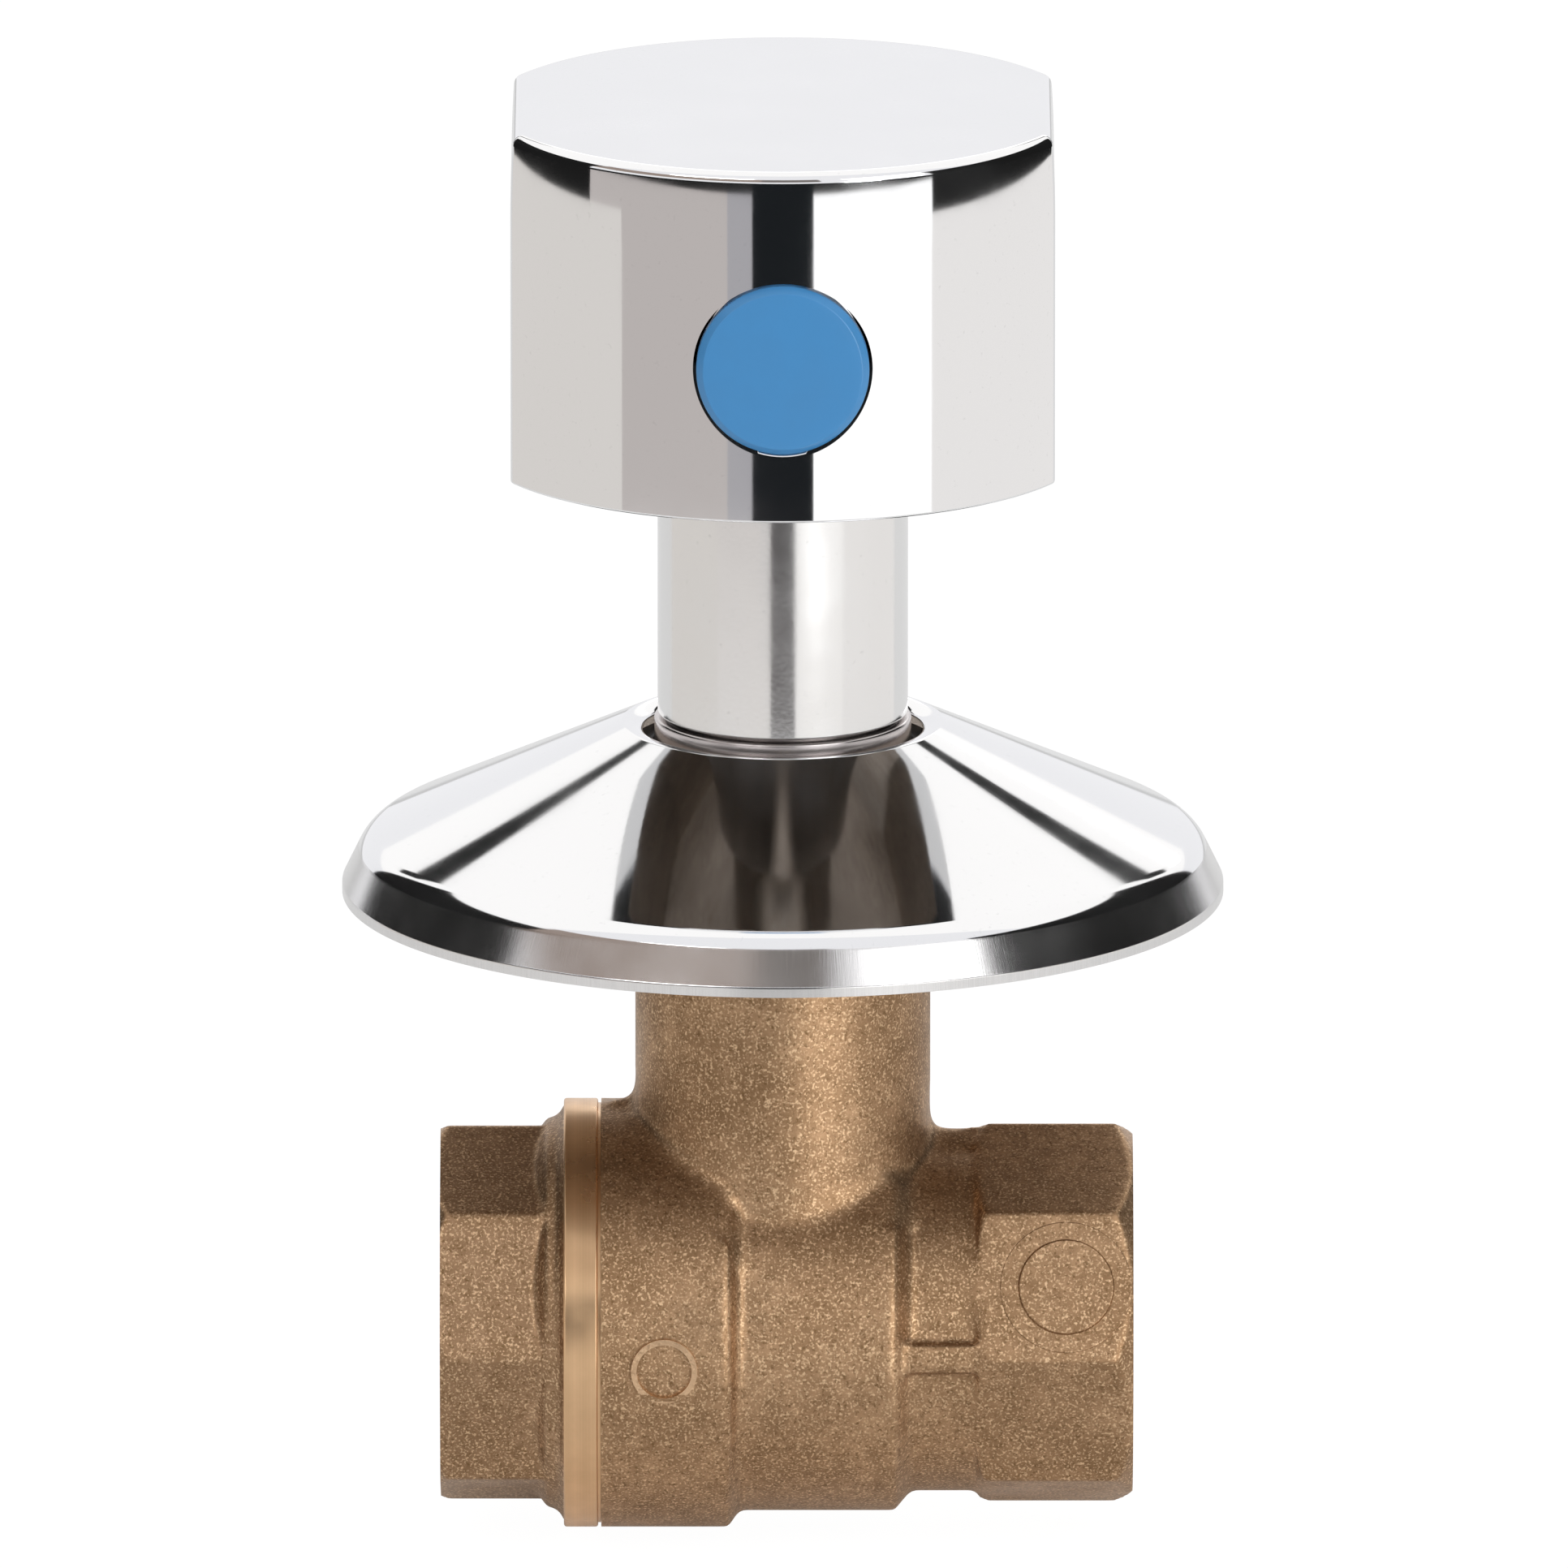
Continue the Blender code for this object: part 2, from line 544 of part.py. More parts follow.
def build_seats(parent, ptfe):
    """Two rings whose cups fit the ball; the inlet one is the same ring turned round."""
    start = math.degrees(math.asin(SEAT_BORE / CUP_RADIUS))
    end = math.degrees(math.acos(SEAT_FRONT_X / CUP_RADIUS))
    cup = [(y, x) for x, y in arc((0, 0), CUP_RADIUS, end, start, 3)]
    back = [(SEAT_BORE, SEAT_BACK_X), (SEAT_RADIUS, SEAT_BACK_X)]
    profile = [(SEAT_RADIUS, SEAT_FRONT_X), *cup, *back]
    turned("seat_outlet", profile, parent, ptfe, axis="X", steps=LARGE)
    inlet = turned("seat_inlet", profile, parent, ptfe, axis="X", steps=LARGE)
    inlet.rotation_euler.z = math.pi


def build_end_cap_seal(parent, rubber):
    room = SEAL_ROOM_RADIUS - SEAT_GAP - SEAL_SECTION
    section = ring_section(SEAL_SECTION, room, SEAL_SPACE / 2 - BODY_FACE_X)
    turned("end_cap_seal", section, parent, rubber, axis="X", steps=LARGE)


def build_ball(parent, chrome):
    """The ported ball, with the stem's slot across the pipe while the valve is open."""
    rim = math.degrees(math.asin(PORT_RADIUS / BALL_RADIUS))
    skin = [(y, x) for x, y in arc((0, 0), BALL_RADIUS, 180 - rim, rim, 9)]
    ball = turned("ball", skin, parent, chrome, axis="X", steps=LARGE)
    half = TANG_WIDTH / 2 + RUN_GAP
    slot = [(half, BALL_RADIUS), (-half, BALL_RADIUS), (-half, -BALL_RADIUS), (half, -BALL_RADIUS)]
    floor = BALL_RADIUS - SLOT_DEPTH
    shape_with(ball, raised("slot_cutter", slot, floor, BALL_RADIUS + MARGIN, parent))


def build_stem(parent, brass):
    """Flange below, two ring grooves, a tang for the ball and a square for the spindle."""
    groove = STEM_BORE - RUN_GAP * 2 - 2 * RING_SECTION
    reach = RING_SECTION + RUN_GAP
    profile = [(0, STEM_SQUARE_Z), (STEM_RADIUS, STEM_SQUARE_Z)]
    for ring_z in (RING_Z + RING_SPACING, RING_Z):
        profile += [
            (STEM_RADIUS, ring_z + reach),
            (groove, ring_z + reach),
            (groove, ring_z - reach),
            (STEM_RADIUS, ring_z - reach),
        ]
    flange_top = STEM_FLANGE_Z + STEM_FLANGE_HEIGHT
    profile += [
        (STEM_RADIUS, flange_top),
        (STEM_FLANGE_RADIUS, flange_top),
        (STEM_FLANGE_RADIUS, STEM_FLANGE_Z),
        (0, STEM_FLANGE_Z),
    ]
    stem = turned("stem", profile, parent, brass)
    bottom = BALL_RADIUS - SLOT_DEPTH + RUN_GAP
    half = TANG_WIDTH / 2
    tang = [(half, STEM_RADIUS), (-half, STEM_RADIUS), (-half, -STEM_RADIUS), (half, -STEM_RADIUS)]
    shape_with(stem, raised("tang", tang, bottom, flange_top - RUN_GAP, parent), "UNION")
    shape_with(
        stem,
        raised("stem_square", square(STEM_SQUARE_HALF), STEM_SQUARE_Z - MARGIN, STEM_TOP_Z, parent),
        "UNION",
    )


def build_stem_seals(fixed, moving, ptfe, rubber):
    washer = tube(STEM_BORE, STEM_FLANGE_RADIUS, 0, WASHER_THICKNESS)
    turned("thrust_washer", washer, fixed, ptfe, location=(0, 0, WASHER_Z))
    section = ring_section(RING_SECTION, STEM_RADIUS - RING_SECTION, 0)
    turned("stem_oring_lower", section, moving, rubber, location=(0, 0, RING_Z))
    turned("stem_oring_upper", section, moving, rubber, location=(0, 0, RING_Z + RING_SPACING))
    packing = tube(STEM_BORE, PACKING_RADIUS, 0, PACKING_HEIGHT)
    turned("stem_packing", packing, fixed, ptfe, location=(0, 0, PACKING_Z))


def build_gland_nut(parent, brass):
    nut = turned("gland_nut", tube(STEM_BORE, GLAND_RADIUS, GLAND_Z, GLAND_TOP_Z), parent, brass)
    half = GLAND_SLOT_WIDTH / 2
    reach = GLAND_RADIUS + MARGIN
    slot = [(half, reach), (-half, reach), (-half, -reach), (half, -reach)]
    floor = GLAND_TOP_Z - GLAND_SLOT_DEPTH
    shape_with(nut, raised("gland_slot_cutter", slot, floor, GLAND_TOP_Z + MARGIN, parent))


def build_stop_ring(parent, steel):
    """A ring on the stem's square, whose lug meets the ends of the bonnet's notch."""
    top = STOP_Z + STOP_THICKNESS
    lug_low = STOP_Z + STOP_LUG_INSET
    lug_high = top - STOP_LUG_INSET
    ring = turned("stop_ring", rod(STOP_RADIUS, STOP_Z, top), parent, steel)
    half = STOP_LUG_WIDTH / 2
    reach = STOP_RADIUS + STOP_LUG_REACH
    lug = [(half, 0), (half, reach), (-half, reach), (-half, 0)]
    shape_with(ring, raised("stop_lug", lug, lug_low, lug_high, parent), "UNION")
    hole = square(STEM_SQUARE_HALF + SEAT_GAP)
    shape_with(ring, raised("stop_hole_cutter", hole, STOP_Z - MARGIN, top + MARGIN, parent))


def build_bonnet(parent, brass):
    """Thread, hexagon, plain ring and tube, with a 90 degree notch below for the stop's lug."""
    outside = [
        (BONNET_TUBE_RADIUS, BONNET_TOP_Z),
        (BONNET_TUBE_RADIUS, RING_TOP_Z),
        (RING_RADIUS, RING_TOP_Z),
        (RING_RADIUS, BONNET_FLANGE_Z + BONNET_FLANGE_HEIGHT / 2),
        (BONNET_THREAD_RADIUS, BONNET_FLANGE_Z + BONNET_FLANGE_HEIGHT / 2),
        (BONNET_THREAD_RADIUS, BONNET_Z),
        (BONNET_BORE, BONNET_Z),
        (BONNET_BORE, BONNET_TOP_Z),
    ]
    bonnet = turned("bonnet", outside, parent, brass, steps=LARGE)
    corner = (BONNET_THREAD_RADIUS + BONNET_FLANGE_WALL) / math.cos(math.radians(30))
    outline = polygon(corner, 6)
    hexagon = raised("bonnet_hexagon", outline, BONNET_FLANGE_Z, BONNET_FLANGE_TOP_Z, parent)
    middle = rod((BONNET_BORE + BONNET_THREAD_RADIUS) / 2, 0, BONNET_TOP_Z)
    shape_with(hexagon, turned("hexagon_bore", middle, parent))
    shape_with(bonnet, hexagon, "UNION")

    # The lug points to +Y while the valve is open, and clockwise, as seen from the knob, closes it
    lug_radius = STOP_RADIUS + STOP_LUG_REACH + RUN_GAP
    spread = math.degrees(math.asin(STOP_LUG_WIDTH / 2 / STOP_RADIUS)) + TRAVEL_SPARE
    sector = arc((0, 0), lug_radius, 90 + spread, 90 - TRAVEL - spread, SMALL // 2)
    notch = [(0, 0), *sector]
    top = STOP_Z + STOP_THICKNESS + RUN_GAP
    shape_with(bonnet, raised("notch_cutter", notch, BONNET_Z - MARGIN, top, parent))


def build_bonnet_seal(parent, fibre):
    outer = BONNET_THREAD_RADIUS + BONNET_FLANGE_WALL - SEAT_GAP
    ring = tube(NECK_BORE, outer, 0, BONNET_SEAL_THICKNESS)
    turned("bonnet_seal", ring, parent, fibre, steps=LARGE, location=(0, 0, BONNET_SEAL_Z))


def spline_outline(tip, root):
    """A closed outline of straight-sided teeth between a tip and a root radius."""
    points = []
    for i in range(SPLINE_TEETH * 4):
        radius = tip if i % 4 < 2 else root
        angle = math.tau * (i + 0.5) / (SPLINE_TEETH * 4)
        points.append((radius * math.cos(angle), radius * math.sin(angle)))
    return points


def build_spindle(parent, brass):
    """The extension: a square socket on the stem, a plain shaft, and a splined top."""
    socket_top = STEM_TOP_Z + SEAT_GAP + SPINDLE_SOCKET_ROOF
    spline_z = HUB_Z + SEAT_GAP
    groove = SPINDLE_RADIUS - CIRCLIP_GROOVE_DEPTH
    clip_low = CIRCLIP_Z - RUN_GAP / 2
    clip_high = CIRCLIP_Z + CIRCLIP_THICKNESS + RUN_GAP
    profile = [
        (0, spline_z),
        (SPINDLE_RADIUS, spline_z),
        (SPINDLE_RADIUS, clip_high),
        (groove, clip_high),
        (groove, clip_low),
        (SPINDLE_RADIUS, clip_low),
        (SPINDLE_RADIUS, socket_top + SPINDLE_SOCKET_ROOF),
        (SPINDLE_SOCKET_RADIUS, socket_top),
        (SPINDLE_SOCKET_RADIUS, SOCKET_Z),
        (0, SOCKET_Z),
    ]
    spindle = turned("spindle", profile, parent, brass)
    teeth = spline_outline(SPINDLE_RADIUS, SPINDLE_RADIUS - SPLINE_DEPTH)
    spline_top = spline_z + SPLINE_LENGTH
    splined = raised("spindle_teeth", teeth, spline_z - MARGIN / 2, spline_top, parent)
    shape_with(spindle, splined, "UNION")
    hole = square(STEM_SQUARE_HALF + SEAT_GAP)
    shape_with(spindle, raised("socket_cutter", hole, SOCKET_Z - MARGIN, STEM_TOP_Z + SEAT_GAP, parent))


def build_spindle_bush(parent, plastic):
    bore = SPINDLE_RADIUS + RUN_GAP
    profile = [
        (BONNET_TUBE_RADIUS - BUSH_FLANGE_INSET, BUSH_TOP_Z),
        (BONNET_TUBE_RADIUS - BUSH_FLANGE_INSET, BONNET_TOP_Z + SEAT_GAP),
        (BONNET_BORE - SEAT_GAP, BONNET_TOP_Z + SEAT_GAP),
        (BONNET_BORE - SEAT_GAP, BONNET_TOP_Z - BUSH_LENGTH),
        (bore, BONNET_TOP_Z - BUSH_LENGTH),
        (bore, BUSH_TOP_Z),
    ]
    turned("spindle_bush", profile, parent, plastic)


def build_circlip(parent, steel):
    inner = SPINDLE_RADIUS - CIRCLIP_GROOVE_DEPTH + SEAT_GAP
    outer = inner + CIRCLIP_WALL
    start = CIRCLIP_OPENING / 2
    around = arc((0, 0), outer, start, 360 - start, SMALL)
    back = arc((0, 0), inner, 360 - start, start, SMALL)
    clip = raised("circlip", around + back, 0, CIRCLIP_THICKNESS, parent, steel)
    clip.location.z = CIRCLIP_Z + RUN_GAP / 2


def build_sleeve(parent, chrome):
    wall = tube(SLEEVE_BORE, SLEEVE_RADIUS, 0, SLEEVE_TOP_Z - SLEEVE_Z)
    turned("sleeve", wall, parent, chrome, steps=LARGE, location=(0, 0, SLEEVE_Z))


def rosette_skin(offset):
    """The rosette's line from lip to rim, as (radius, height) points, moved inwards by offset."""
    crest = HOLE_RADIUS + ROSETTE_LIP_WIDTH
    shoulder = ROSETTE_RADIUS - ROSETTE_SHOULDER_INSET
    rim_z = CREST_Z - ROSETTE_HEIGHT
    shoulder_z = rim_z + ROSETTE_SHOULDER_HEIGHT
    slope = math.atan2(CREST_Z - shoulder_z, shoulder - crest)
    skirt = math.atan2(shoulder_z - rim_z - ROSETTE_RIM_BAND, ROSETTE_RADIUS - shoulder)
    half = (slope + skirt) / 2
    down = offset / math.cos(slope)
    inset = offset * math.tan((skirt - slope) / 2)
    points = []
    for turn in (0, math.radians(45)):
        fallen = ROSETTE_LIP_DROP * (1 - math.sin(turn))
        points.append((crest - ROSETTE_LIP_WIDTH * math.cos(turn), CREST_Z - fallen - offset))
    points.append((crest, CREST_Z - down))
    corner = (
        shoulder - offset * math.sin(half) / math.cos((skirt - slope) / 2),
        shoulder_z - offset * math.cos(half) / math.cos((skirt - slope) / 2),
    )
    round_off = ROSETTE_SHOULDER_ROUND - inset
    before = (corner[0] - round_off * math.cos(slope), corner[1] + round_off * math.sin(slope))
    after = (corner[0] + round_off * math.cos(skirt), corner[1] - round_off * math.sin(skirt))
    for t in (0, 1 / 3, 2 / 3, 1):
        weights = ((1 - t) ** 2, 2 * t * (1 - t), t * t)
        points.append(tuple(
            weights[0] * a + weights[1] * b + weights[2] * c for a, b, c in zip(before, corner, after)
        ))
    points.append((ROSETTE_RADIUS - offset, rim_z + ROSETTE_RIM_BAND))
    points.append((ROSETTE_RADIUS - offset, rim_z))
    return points


def build_rosette(parent, chrome):
    """A pressed sheet cone of even thickness, with a rolled lip at its hole and a short rim."""
    profile = rosette_skin(0) + rosette_skin(ROSETTE_SHEET)[::-1]
    turned("rosette", profile, parent, chrome, steps=WIDE)


def build_rosette_gasket(parent, rubber):
    """A grip ring under the lip, which holds the rosette where it is pushed."""
    top = CREST_Z - ROSETTE_LIP_DROP - ROSETTE_SHEET - SEAT_GAP
    inner = RING_RADIUS + RUN_GAP
    ring = tube(inner, inner + GASKET_WALL, top - GASKET_HEIGHT, top)
    turned("rosette_gasket", ring, parent, rubber, steps=LARGE)


def knob_outline(inset, corner, steps=12):
    """The knob's plan: arcs in front and behind, flats left and right, and rounded corners."""
    radius = KNOB_RADIUS - inset
    x = radius - KNOB_FLAT_DEPTH - corner
    y = math.sqrt((radius - corner) ** 2 - x**2)
    meet = math.degrees(math.atan2(y, x))
    quarter = arc((x, y), corner, 0, meet, 2)
    back = arc((0, 0), radius, meet, 180 - meet, steps)[1:-1]
    half = quarter + back + [(-a, b) for a, b in reversed(quarter)]
    return half + [(a, -b) for a, b in reversed(half)]


def build_knob(parent, chrome):
    """A die-cast shell, open below, with a hub for the insert and a boss for cap and screw."""
    plan = knob_outline(0, KNOB_CORNER)
    drawn_in = knob_outline(KNOB_DRAFT, KNOB_CORNER)
    sections = [(plan, KNOB_Z), (plan, KNOB_TOP_Z - KNOB_DRAFT_HEIGHT), (drawn_in, KNOB_TOP_Z)]
    knob = lofted("knob", sections, parent, chrome)
    bevel = knob.modifiers.new("edges", "BEVEL")
    bevel.width = KNOB_EDGE
    bevel.segments = 2
    bevel.limit_method = "ANGLE"
    bevel.angle_limit = math.radians(60)

    ceiling = KNOB_TOP_Z - KNOB_WALL
    inside = knob_outline(KNOB_WALL, KNOB_CORNER)
    shape_with(knob, raised("hollow_cutter", inside, KNOB_Z - MARGIN, ceiling, parent))
    hub = turned("hub", rod(HUB_RADIUS, HUB_Z, ceiling + KNOB_WALL / 2), parent)
    shape_with(knob, hub, "UNION")

    # The boss starts inside the front wall, behind the wall's curved outside
    side = math.sqrt(KNOB_RADIUS**2 - INDEX_BOSS_RADIUS**2)
    front = -(KNOB_RADIUS - KNOB_WALL + side) / 2
    boss = [
        (0, front),
        (INDEX_BOSS_RADIUS, front),
        (INDEX_BOSS_RADIUS, -INDEX_BOSS_Y),
        (SCREW_BOSS_RADIUS, -INDEX_BOSS_Y),
        (SCREW_BOSS_RADIUS, -HUB_RADIUS / 2),
        (0, -HUB_RADIUS / 2),
    ]
    shape_with(knob, turned("knob_boss", boss, parent, axis="Y", location=(0, 0, INDEX_Z)), "UNION")

    bore = rod(INSERT_RADIUS + SEAT_GAP, HUB_Z - MARGIN, HUB_Z + INSERT_HEIGHT + 2 * SEAT_GAP)
    shape_with(knob, turned("hub_cutter", bore, parent))
    way_in = [
        (0, 0),
        (SCREW_BORE, 0),
        (SCREW_BORE, -INDEX_FLOOR_Y),
        (INDEX_ROOM, -INDEX_FLOOR_Y),
        (INDEX_ROOM, -KNOB_RADIUS - MARGIN),
        (0, -KNOB_RADIUS - MARGIN),
    ]
    shape_with(knob, turned("cap_cutter", way_in, parent, axis="Y", location=(0, 0, INDEX_Z)))


def build_knob_insert(parent, plastic):
    """A sleeve whose inner teeth fit the spindle's, with a side hole for the grub screw."""
    low = HUB_Z + SEAT_GAP
    high = low + INSERT_HEIGHT
    insert = turned("knob_insert", rod(INSERT_RADIUS, low, high), parent, plastic)
    teeth = spline_outline(SPINDLE_RADIUS + SEAT_GAP, SPINDLE_RADIUS + SEAT_GAP - SPLINE_DEPTH)
    shape_with(insert, raised("insert_teeth_cutter", teeth, low - MARGIN, high + MARGIN, parent))
    side = rod(SCREW_BORE, -INSERT_RADIUS - MARGIN, 0)
    shape_with(insert, turned("insert_side_cutter", side, parent, axis="Y", location=(0, 0, INDEX_Z)))


def build_knob_screw(parent, steel):
    """A grub screw with a cone point and a hexagon socket, in front of the spindle."""
    tip = -SCREW_TIP_Y
    head = tip - SCREW_LENGTH
    profile = [
        (0, tip),
        (SCREW_RADIUS - SCREW_CONE, tip),
        (SCREW_RADIUS, tip - SCREW_CONE),
        (SCREW_RADIUS, head),
        (0, head),
    ]
    screw = turned("knob_screw", profile, parent, steel, axis="Y", location=(0, 0, INDEX_Z))
    socket = polygon(SCREW_HEX / 2 / math.cos(math.radians(30)), 6)
    cutter = raised("hex_cutter", socket, head - MARGIN, head + SCREW_SOCKET_DEPTH, parent, axis="Y")
    cutter.location.z = INDEX_Z
    shape_with(screw, cutter)


def build_index_cap(parent, blue):
    """A round cap that lies in the knob's front, with a plug that snaps into the screw's hole."""
    face = -INDEX_FACE_Y
    back = face + INDEX_THICKNESS
    profile = [
        (0, face),
        (INDEX_RADIUS - INDEX_BEVEL, face),
        (INDEX_RADIUS, face + INDEX_BEVEL),
        (INDEX_RADIUS, back),
        (min(INDEX_PLUG_RADIUS, SCREW_BORE - SEAT_GAP), back),
        (min(INDEX_PLUG_RADIUS, SCREW_BORE - SEAT_GAP), back + INDEX_PLUG_LENGTH),
        (0, back + INDEX_PLUG_LENGTH),
    ]
    turned("index_cap", profile, parent, blue, axis="Y", steps=LARGE, location=(0, 0, INDEX_Z))


def main():
    clear_scene()
    forged = material("forged_brass", (0.36, 0.22, 0.11), 1.0, 0.45)
    cap_brass = material("cap_brass", (0.45, 0.28, 0.13), 1.0, 0.40)
    turned_brass = material("turned_brass", (0.60, 0.42, 0.18), 1.0, 0.25)
    chrome = material("chrome", (0.75, 0.76, 0.78), 1.0, 0.06)
    ball_chrome = material("ball_chrome", (0.70, 0.71, 0.72), 1.0, 0.10)
    steel = material("steel", (0.45, 0.45, 0.46), 1.0, 0.30)
    ptfe = material("ptfe", (0.85, 0.85, 0.82), 0.0, 0.40)
    rubber = material("rubber", (0.02, 0.02, 0.02), 0.0, 0.60)
    fibre = material("fibre", (0.35, 0.10, 0.07), 0.0, 0.70)
    plastic = material("white_plastic", (0.80, 0.80, 0.78), 0.0, 0.35)
    blue = material("blue_plastic", (0.07, 0.29, 0.60), 0.0, 0.30)

    fixed = empty("pipe_and_stem_cross")
    moving = empty("knob_axis", fixed)
    sliding = empty("rosette_axis", fixed)

    build_valve_body(fixed, forged)
    build_end_cap(fixed, cap_brass)
    build_seats(fixed, ptfe)
    build_end_cap_seal(fixed, rubber)
    build_ball(moving, ball_chrome)
    build_stem(moving, turned_brass)
    build_stem_seals(fixed, moving, ptfe, rubber)
    build_gland_nut(fixed, turned_brass)
    build_stop_ring(moving, steel)
    build_bonnet(fixed, turned_brass)
    build_bonnet_seal(fixed, fibre)
    build_spindle(moving, turned_brass)
    build_spindle_bush(fixed, plastic)
    build_circlip(moving, steel)
    build_sleeve(fixed, chrome)
    build_rosette(sliding, chrome)
    build_rosette_gasket(sliding, rubber)
    build_knob(moving, chrome)
    build_knob_insert(moving, plastic)
    build_knob_screw(moving, steel)
    build_index_cap(moving, blue)


main()
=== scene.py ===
"""Looks of a concealed stop valve: fine forms, finishes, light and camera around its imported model.

The pipe runs along X and the stem along Z, the two lines cross at the origin, and the index cap in the
knob faces -Y. All sizes are metres.
"""

import logging
import math
from collections.abc import Callable, Iterator, Sequence
from contextlib import contextmanager
from dataclasses import dataclass
from enum import Enum
from functools import cache

import bmesh
import bpy
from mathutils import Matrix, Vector


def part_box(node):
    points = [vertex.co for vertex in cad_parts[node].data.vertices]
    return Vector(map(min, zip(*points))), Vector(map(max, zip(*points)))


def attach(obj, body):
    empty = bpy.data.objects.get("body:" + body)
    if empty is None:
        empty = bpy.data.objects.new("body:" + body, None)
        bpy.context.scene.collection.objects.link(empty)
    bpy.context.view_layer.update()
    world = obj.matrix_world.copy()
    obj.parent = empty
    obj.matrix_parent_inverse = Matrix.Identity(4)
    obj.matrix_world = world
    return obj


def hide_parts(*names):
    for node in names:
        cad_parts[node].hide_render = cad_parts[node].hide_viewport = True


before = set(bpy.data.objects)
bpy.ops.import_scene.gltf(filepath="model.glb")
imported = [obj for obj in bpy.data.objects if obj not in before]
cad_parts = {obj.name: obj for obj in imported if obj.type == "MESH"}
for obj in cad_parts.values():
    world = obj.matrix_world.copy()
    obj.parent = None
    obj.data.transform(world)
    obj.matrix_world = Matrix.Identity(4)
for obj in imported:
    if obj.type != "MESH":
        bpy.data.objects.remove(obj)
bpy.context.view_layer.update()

LOG = logging.getLogger("stop_valve")

MM = 0.001
TINY = 1e-6
ON_FACE = 10 * TINY  # a face this near a machined plane lies on it
NEAR = 0.01 * MM  # an edge or vertex this near a place is the one that is meant there
SKIN = 0.02 * MM  # how far relief stands off before it counts as such
MARGIN = 0.1 * MM  # how far past a wall its own faces may lie
CLEARANCE = 0.3 * MM  # room round a piece that sits inside another
ROUND = 192  # facets round a turned piece
FINE_ROUND = 288  # facets round a bright one
HIDDEN_ROUND = 96  # facets round bores, cut corners and small forms
OVERRUN = 2 * MM  # how far a cutter or a raw end runs past the finished face
RAW_END = 1.6 * MM  # forged stock that is cut off at a machined face
FACET_TURN = math.radians(22.5)  # an octagon that stands on a corner has its flats at this turn
SMOOTH_ANGLE = math.radians(32)

Colour = tuple[float, float, float]
Outline = Sequence[tuple[float, float]]


class Axis(Enum):
    """The lines that the valve's round forms turn about."""

    PIPE = (1.0, 0.0, 0.0)
    FRONT = (0.0, -1.0, 0.0)
    STEM = (0.0, 0.0, 1.0)
    PAD = (0.0, -math.cos(FACET_TURN), math.sin(FACET_TURN))

    def point(self, radius: float, along: float) -> Vector:
        """Gives the place of an outline's point before it is turned.

        Args:
            radius: Distance from the axis.
            along: Distance along the axis.

        Returns:
            The point, seen from where the axis crosses the piece's centre.
        """
        direction = Vector(self.value)
        return direction * along + direction.orthogonal().normalized() * radius


class Item(Enum):
    """What is picked in edit mode."""

    VERTEX = ("VERT", "verts")
    EDGE = ("EDGE", "edges")
    FACE = ("FACE", "faces")


class Join(Enum):
    """How one solid is combined with another."""

    UNION = "UNION"
    CUT = "DIFFERENCE"
    COMMON = "INTERSECT"


class Body(Enum):
    """The bodies that pieces ride on."""

    PIPE = "body"
    HANDLE = "handle"
    ROSETTE = "rosette"


class Slot(Enum):
    """The record's material slots of the pieces that are made here."""

    FORGED_BRASS = "forged_brass"
    CAP_BRASS = "cap_brass"
    TURNED_BRASS = "turned_brass"
    CHROME = "chrome"
    BALL_CHROME = "ball_chrome"
    PTFE = "ptfe"
    RUBBER = "rubber"
    FIBRE = "fibre"
    BLUE_PLASTIC = "blue_plastic"


@cache
def cad_box(node: str) -> tuple[Vector, Vector]:
    """The lowest and highest corner of a CAD node, which are measured once."""
    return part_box(node)


# Modelling


def activate(piece: bpy.types.Object) -> None:
    """Makes a piece the only selected object and the active one.

    Args:
        piece: The piece.
    """
    bpy.ops.object.select_all(action="DESELECT")
    piece.select_set(True)
    bpy.context.view_layer.objects.active = piece


@contextmanager
def editing(piece: bpy.types.Object) -> Iterator[None]:
    """Opens a piece in edit mode with nothing selected, and leaves edit mode afterwards.

    Args:
        piece: The mesh object to edit.
    """
    activate(piece)
    bpy.ops.object.mode_set(mode="EDIT")
    bpy.ops.mesh.select_mode(type="VERT")
    bpy.ops.mesh.select_all(action="DESELECT")
    yield
    bpy.ops.object.mode_set(mode="OBJECT")


def pick(piece: bpy.types.Object, item: Item, wanted: Callable[..., bool]) -> None:
    """Selects vertices, edges or faces of a piece in edit mode, and nothing else.

    Args:
        piece: The object in edit mode.
        item: What is selected.
        wanted: Says of one vertex, edge or face whether it is selected.
    """
    kind, collection = item.value
    bpy.ops.mesh.select_all(action="DESELECT")
    bpy.ops.mesh.select_mode(type=kind)
    mesh = bmesh.from_edit_mesh(piece.data)
    for element in getattr(mesh, collection):
        if wanted(element):
            element.select_set(True)
    mesh.select_flush_mode()
    bmesh.update_edit_mesh(piece.data)


def pick_all() -> None:
    """Selects all of the piece in edit mode."""
    bpy.ops.mesh.select_all(action="SELECT")


def face_outwards() -> None:
    """Turns all faces of the piece in edit mode outwards."""
    pick_all()
    bpy.ops.mesh.normals_make_consistent(inside=False)


def from_pipe(place: Vector) -> float:
    """A point's distance from the pipe's line."""
    return math.hypot(place.y, place.z)


def from_stem(place: Vector) -> float:
    """A point's distance from the stem's line."""
    return math.hypot(place.x, place.y)


def primitive(name: str, add: Callable[..., object], **settings: object) -> bpy.types.Object:
    """Adds one of Blender's primitives, with its place in its mesh.

    Args:
        name: The new piece's name.
        add: Blender's operator for the primitive.
        settings: What the operator takes.

    Returns:
        The new piece, which alone is selected.
    """
    bpy.ops.object.select_all(action="DESELECT")
    add(**settings)
    piece = bpy.context.object
    piece.name = piece.data.name = name
    bpy.ops.object.transform_apply(location=True, rotation=True, scale=True)
    return piece


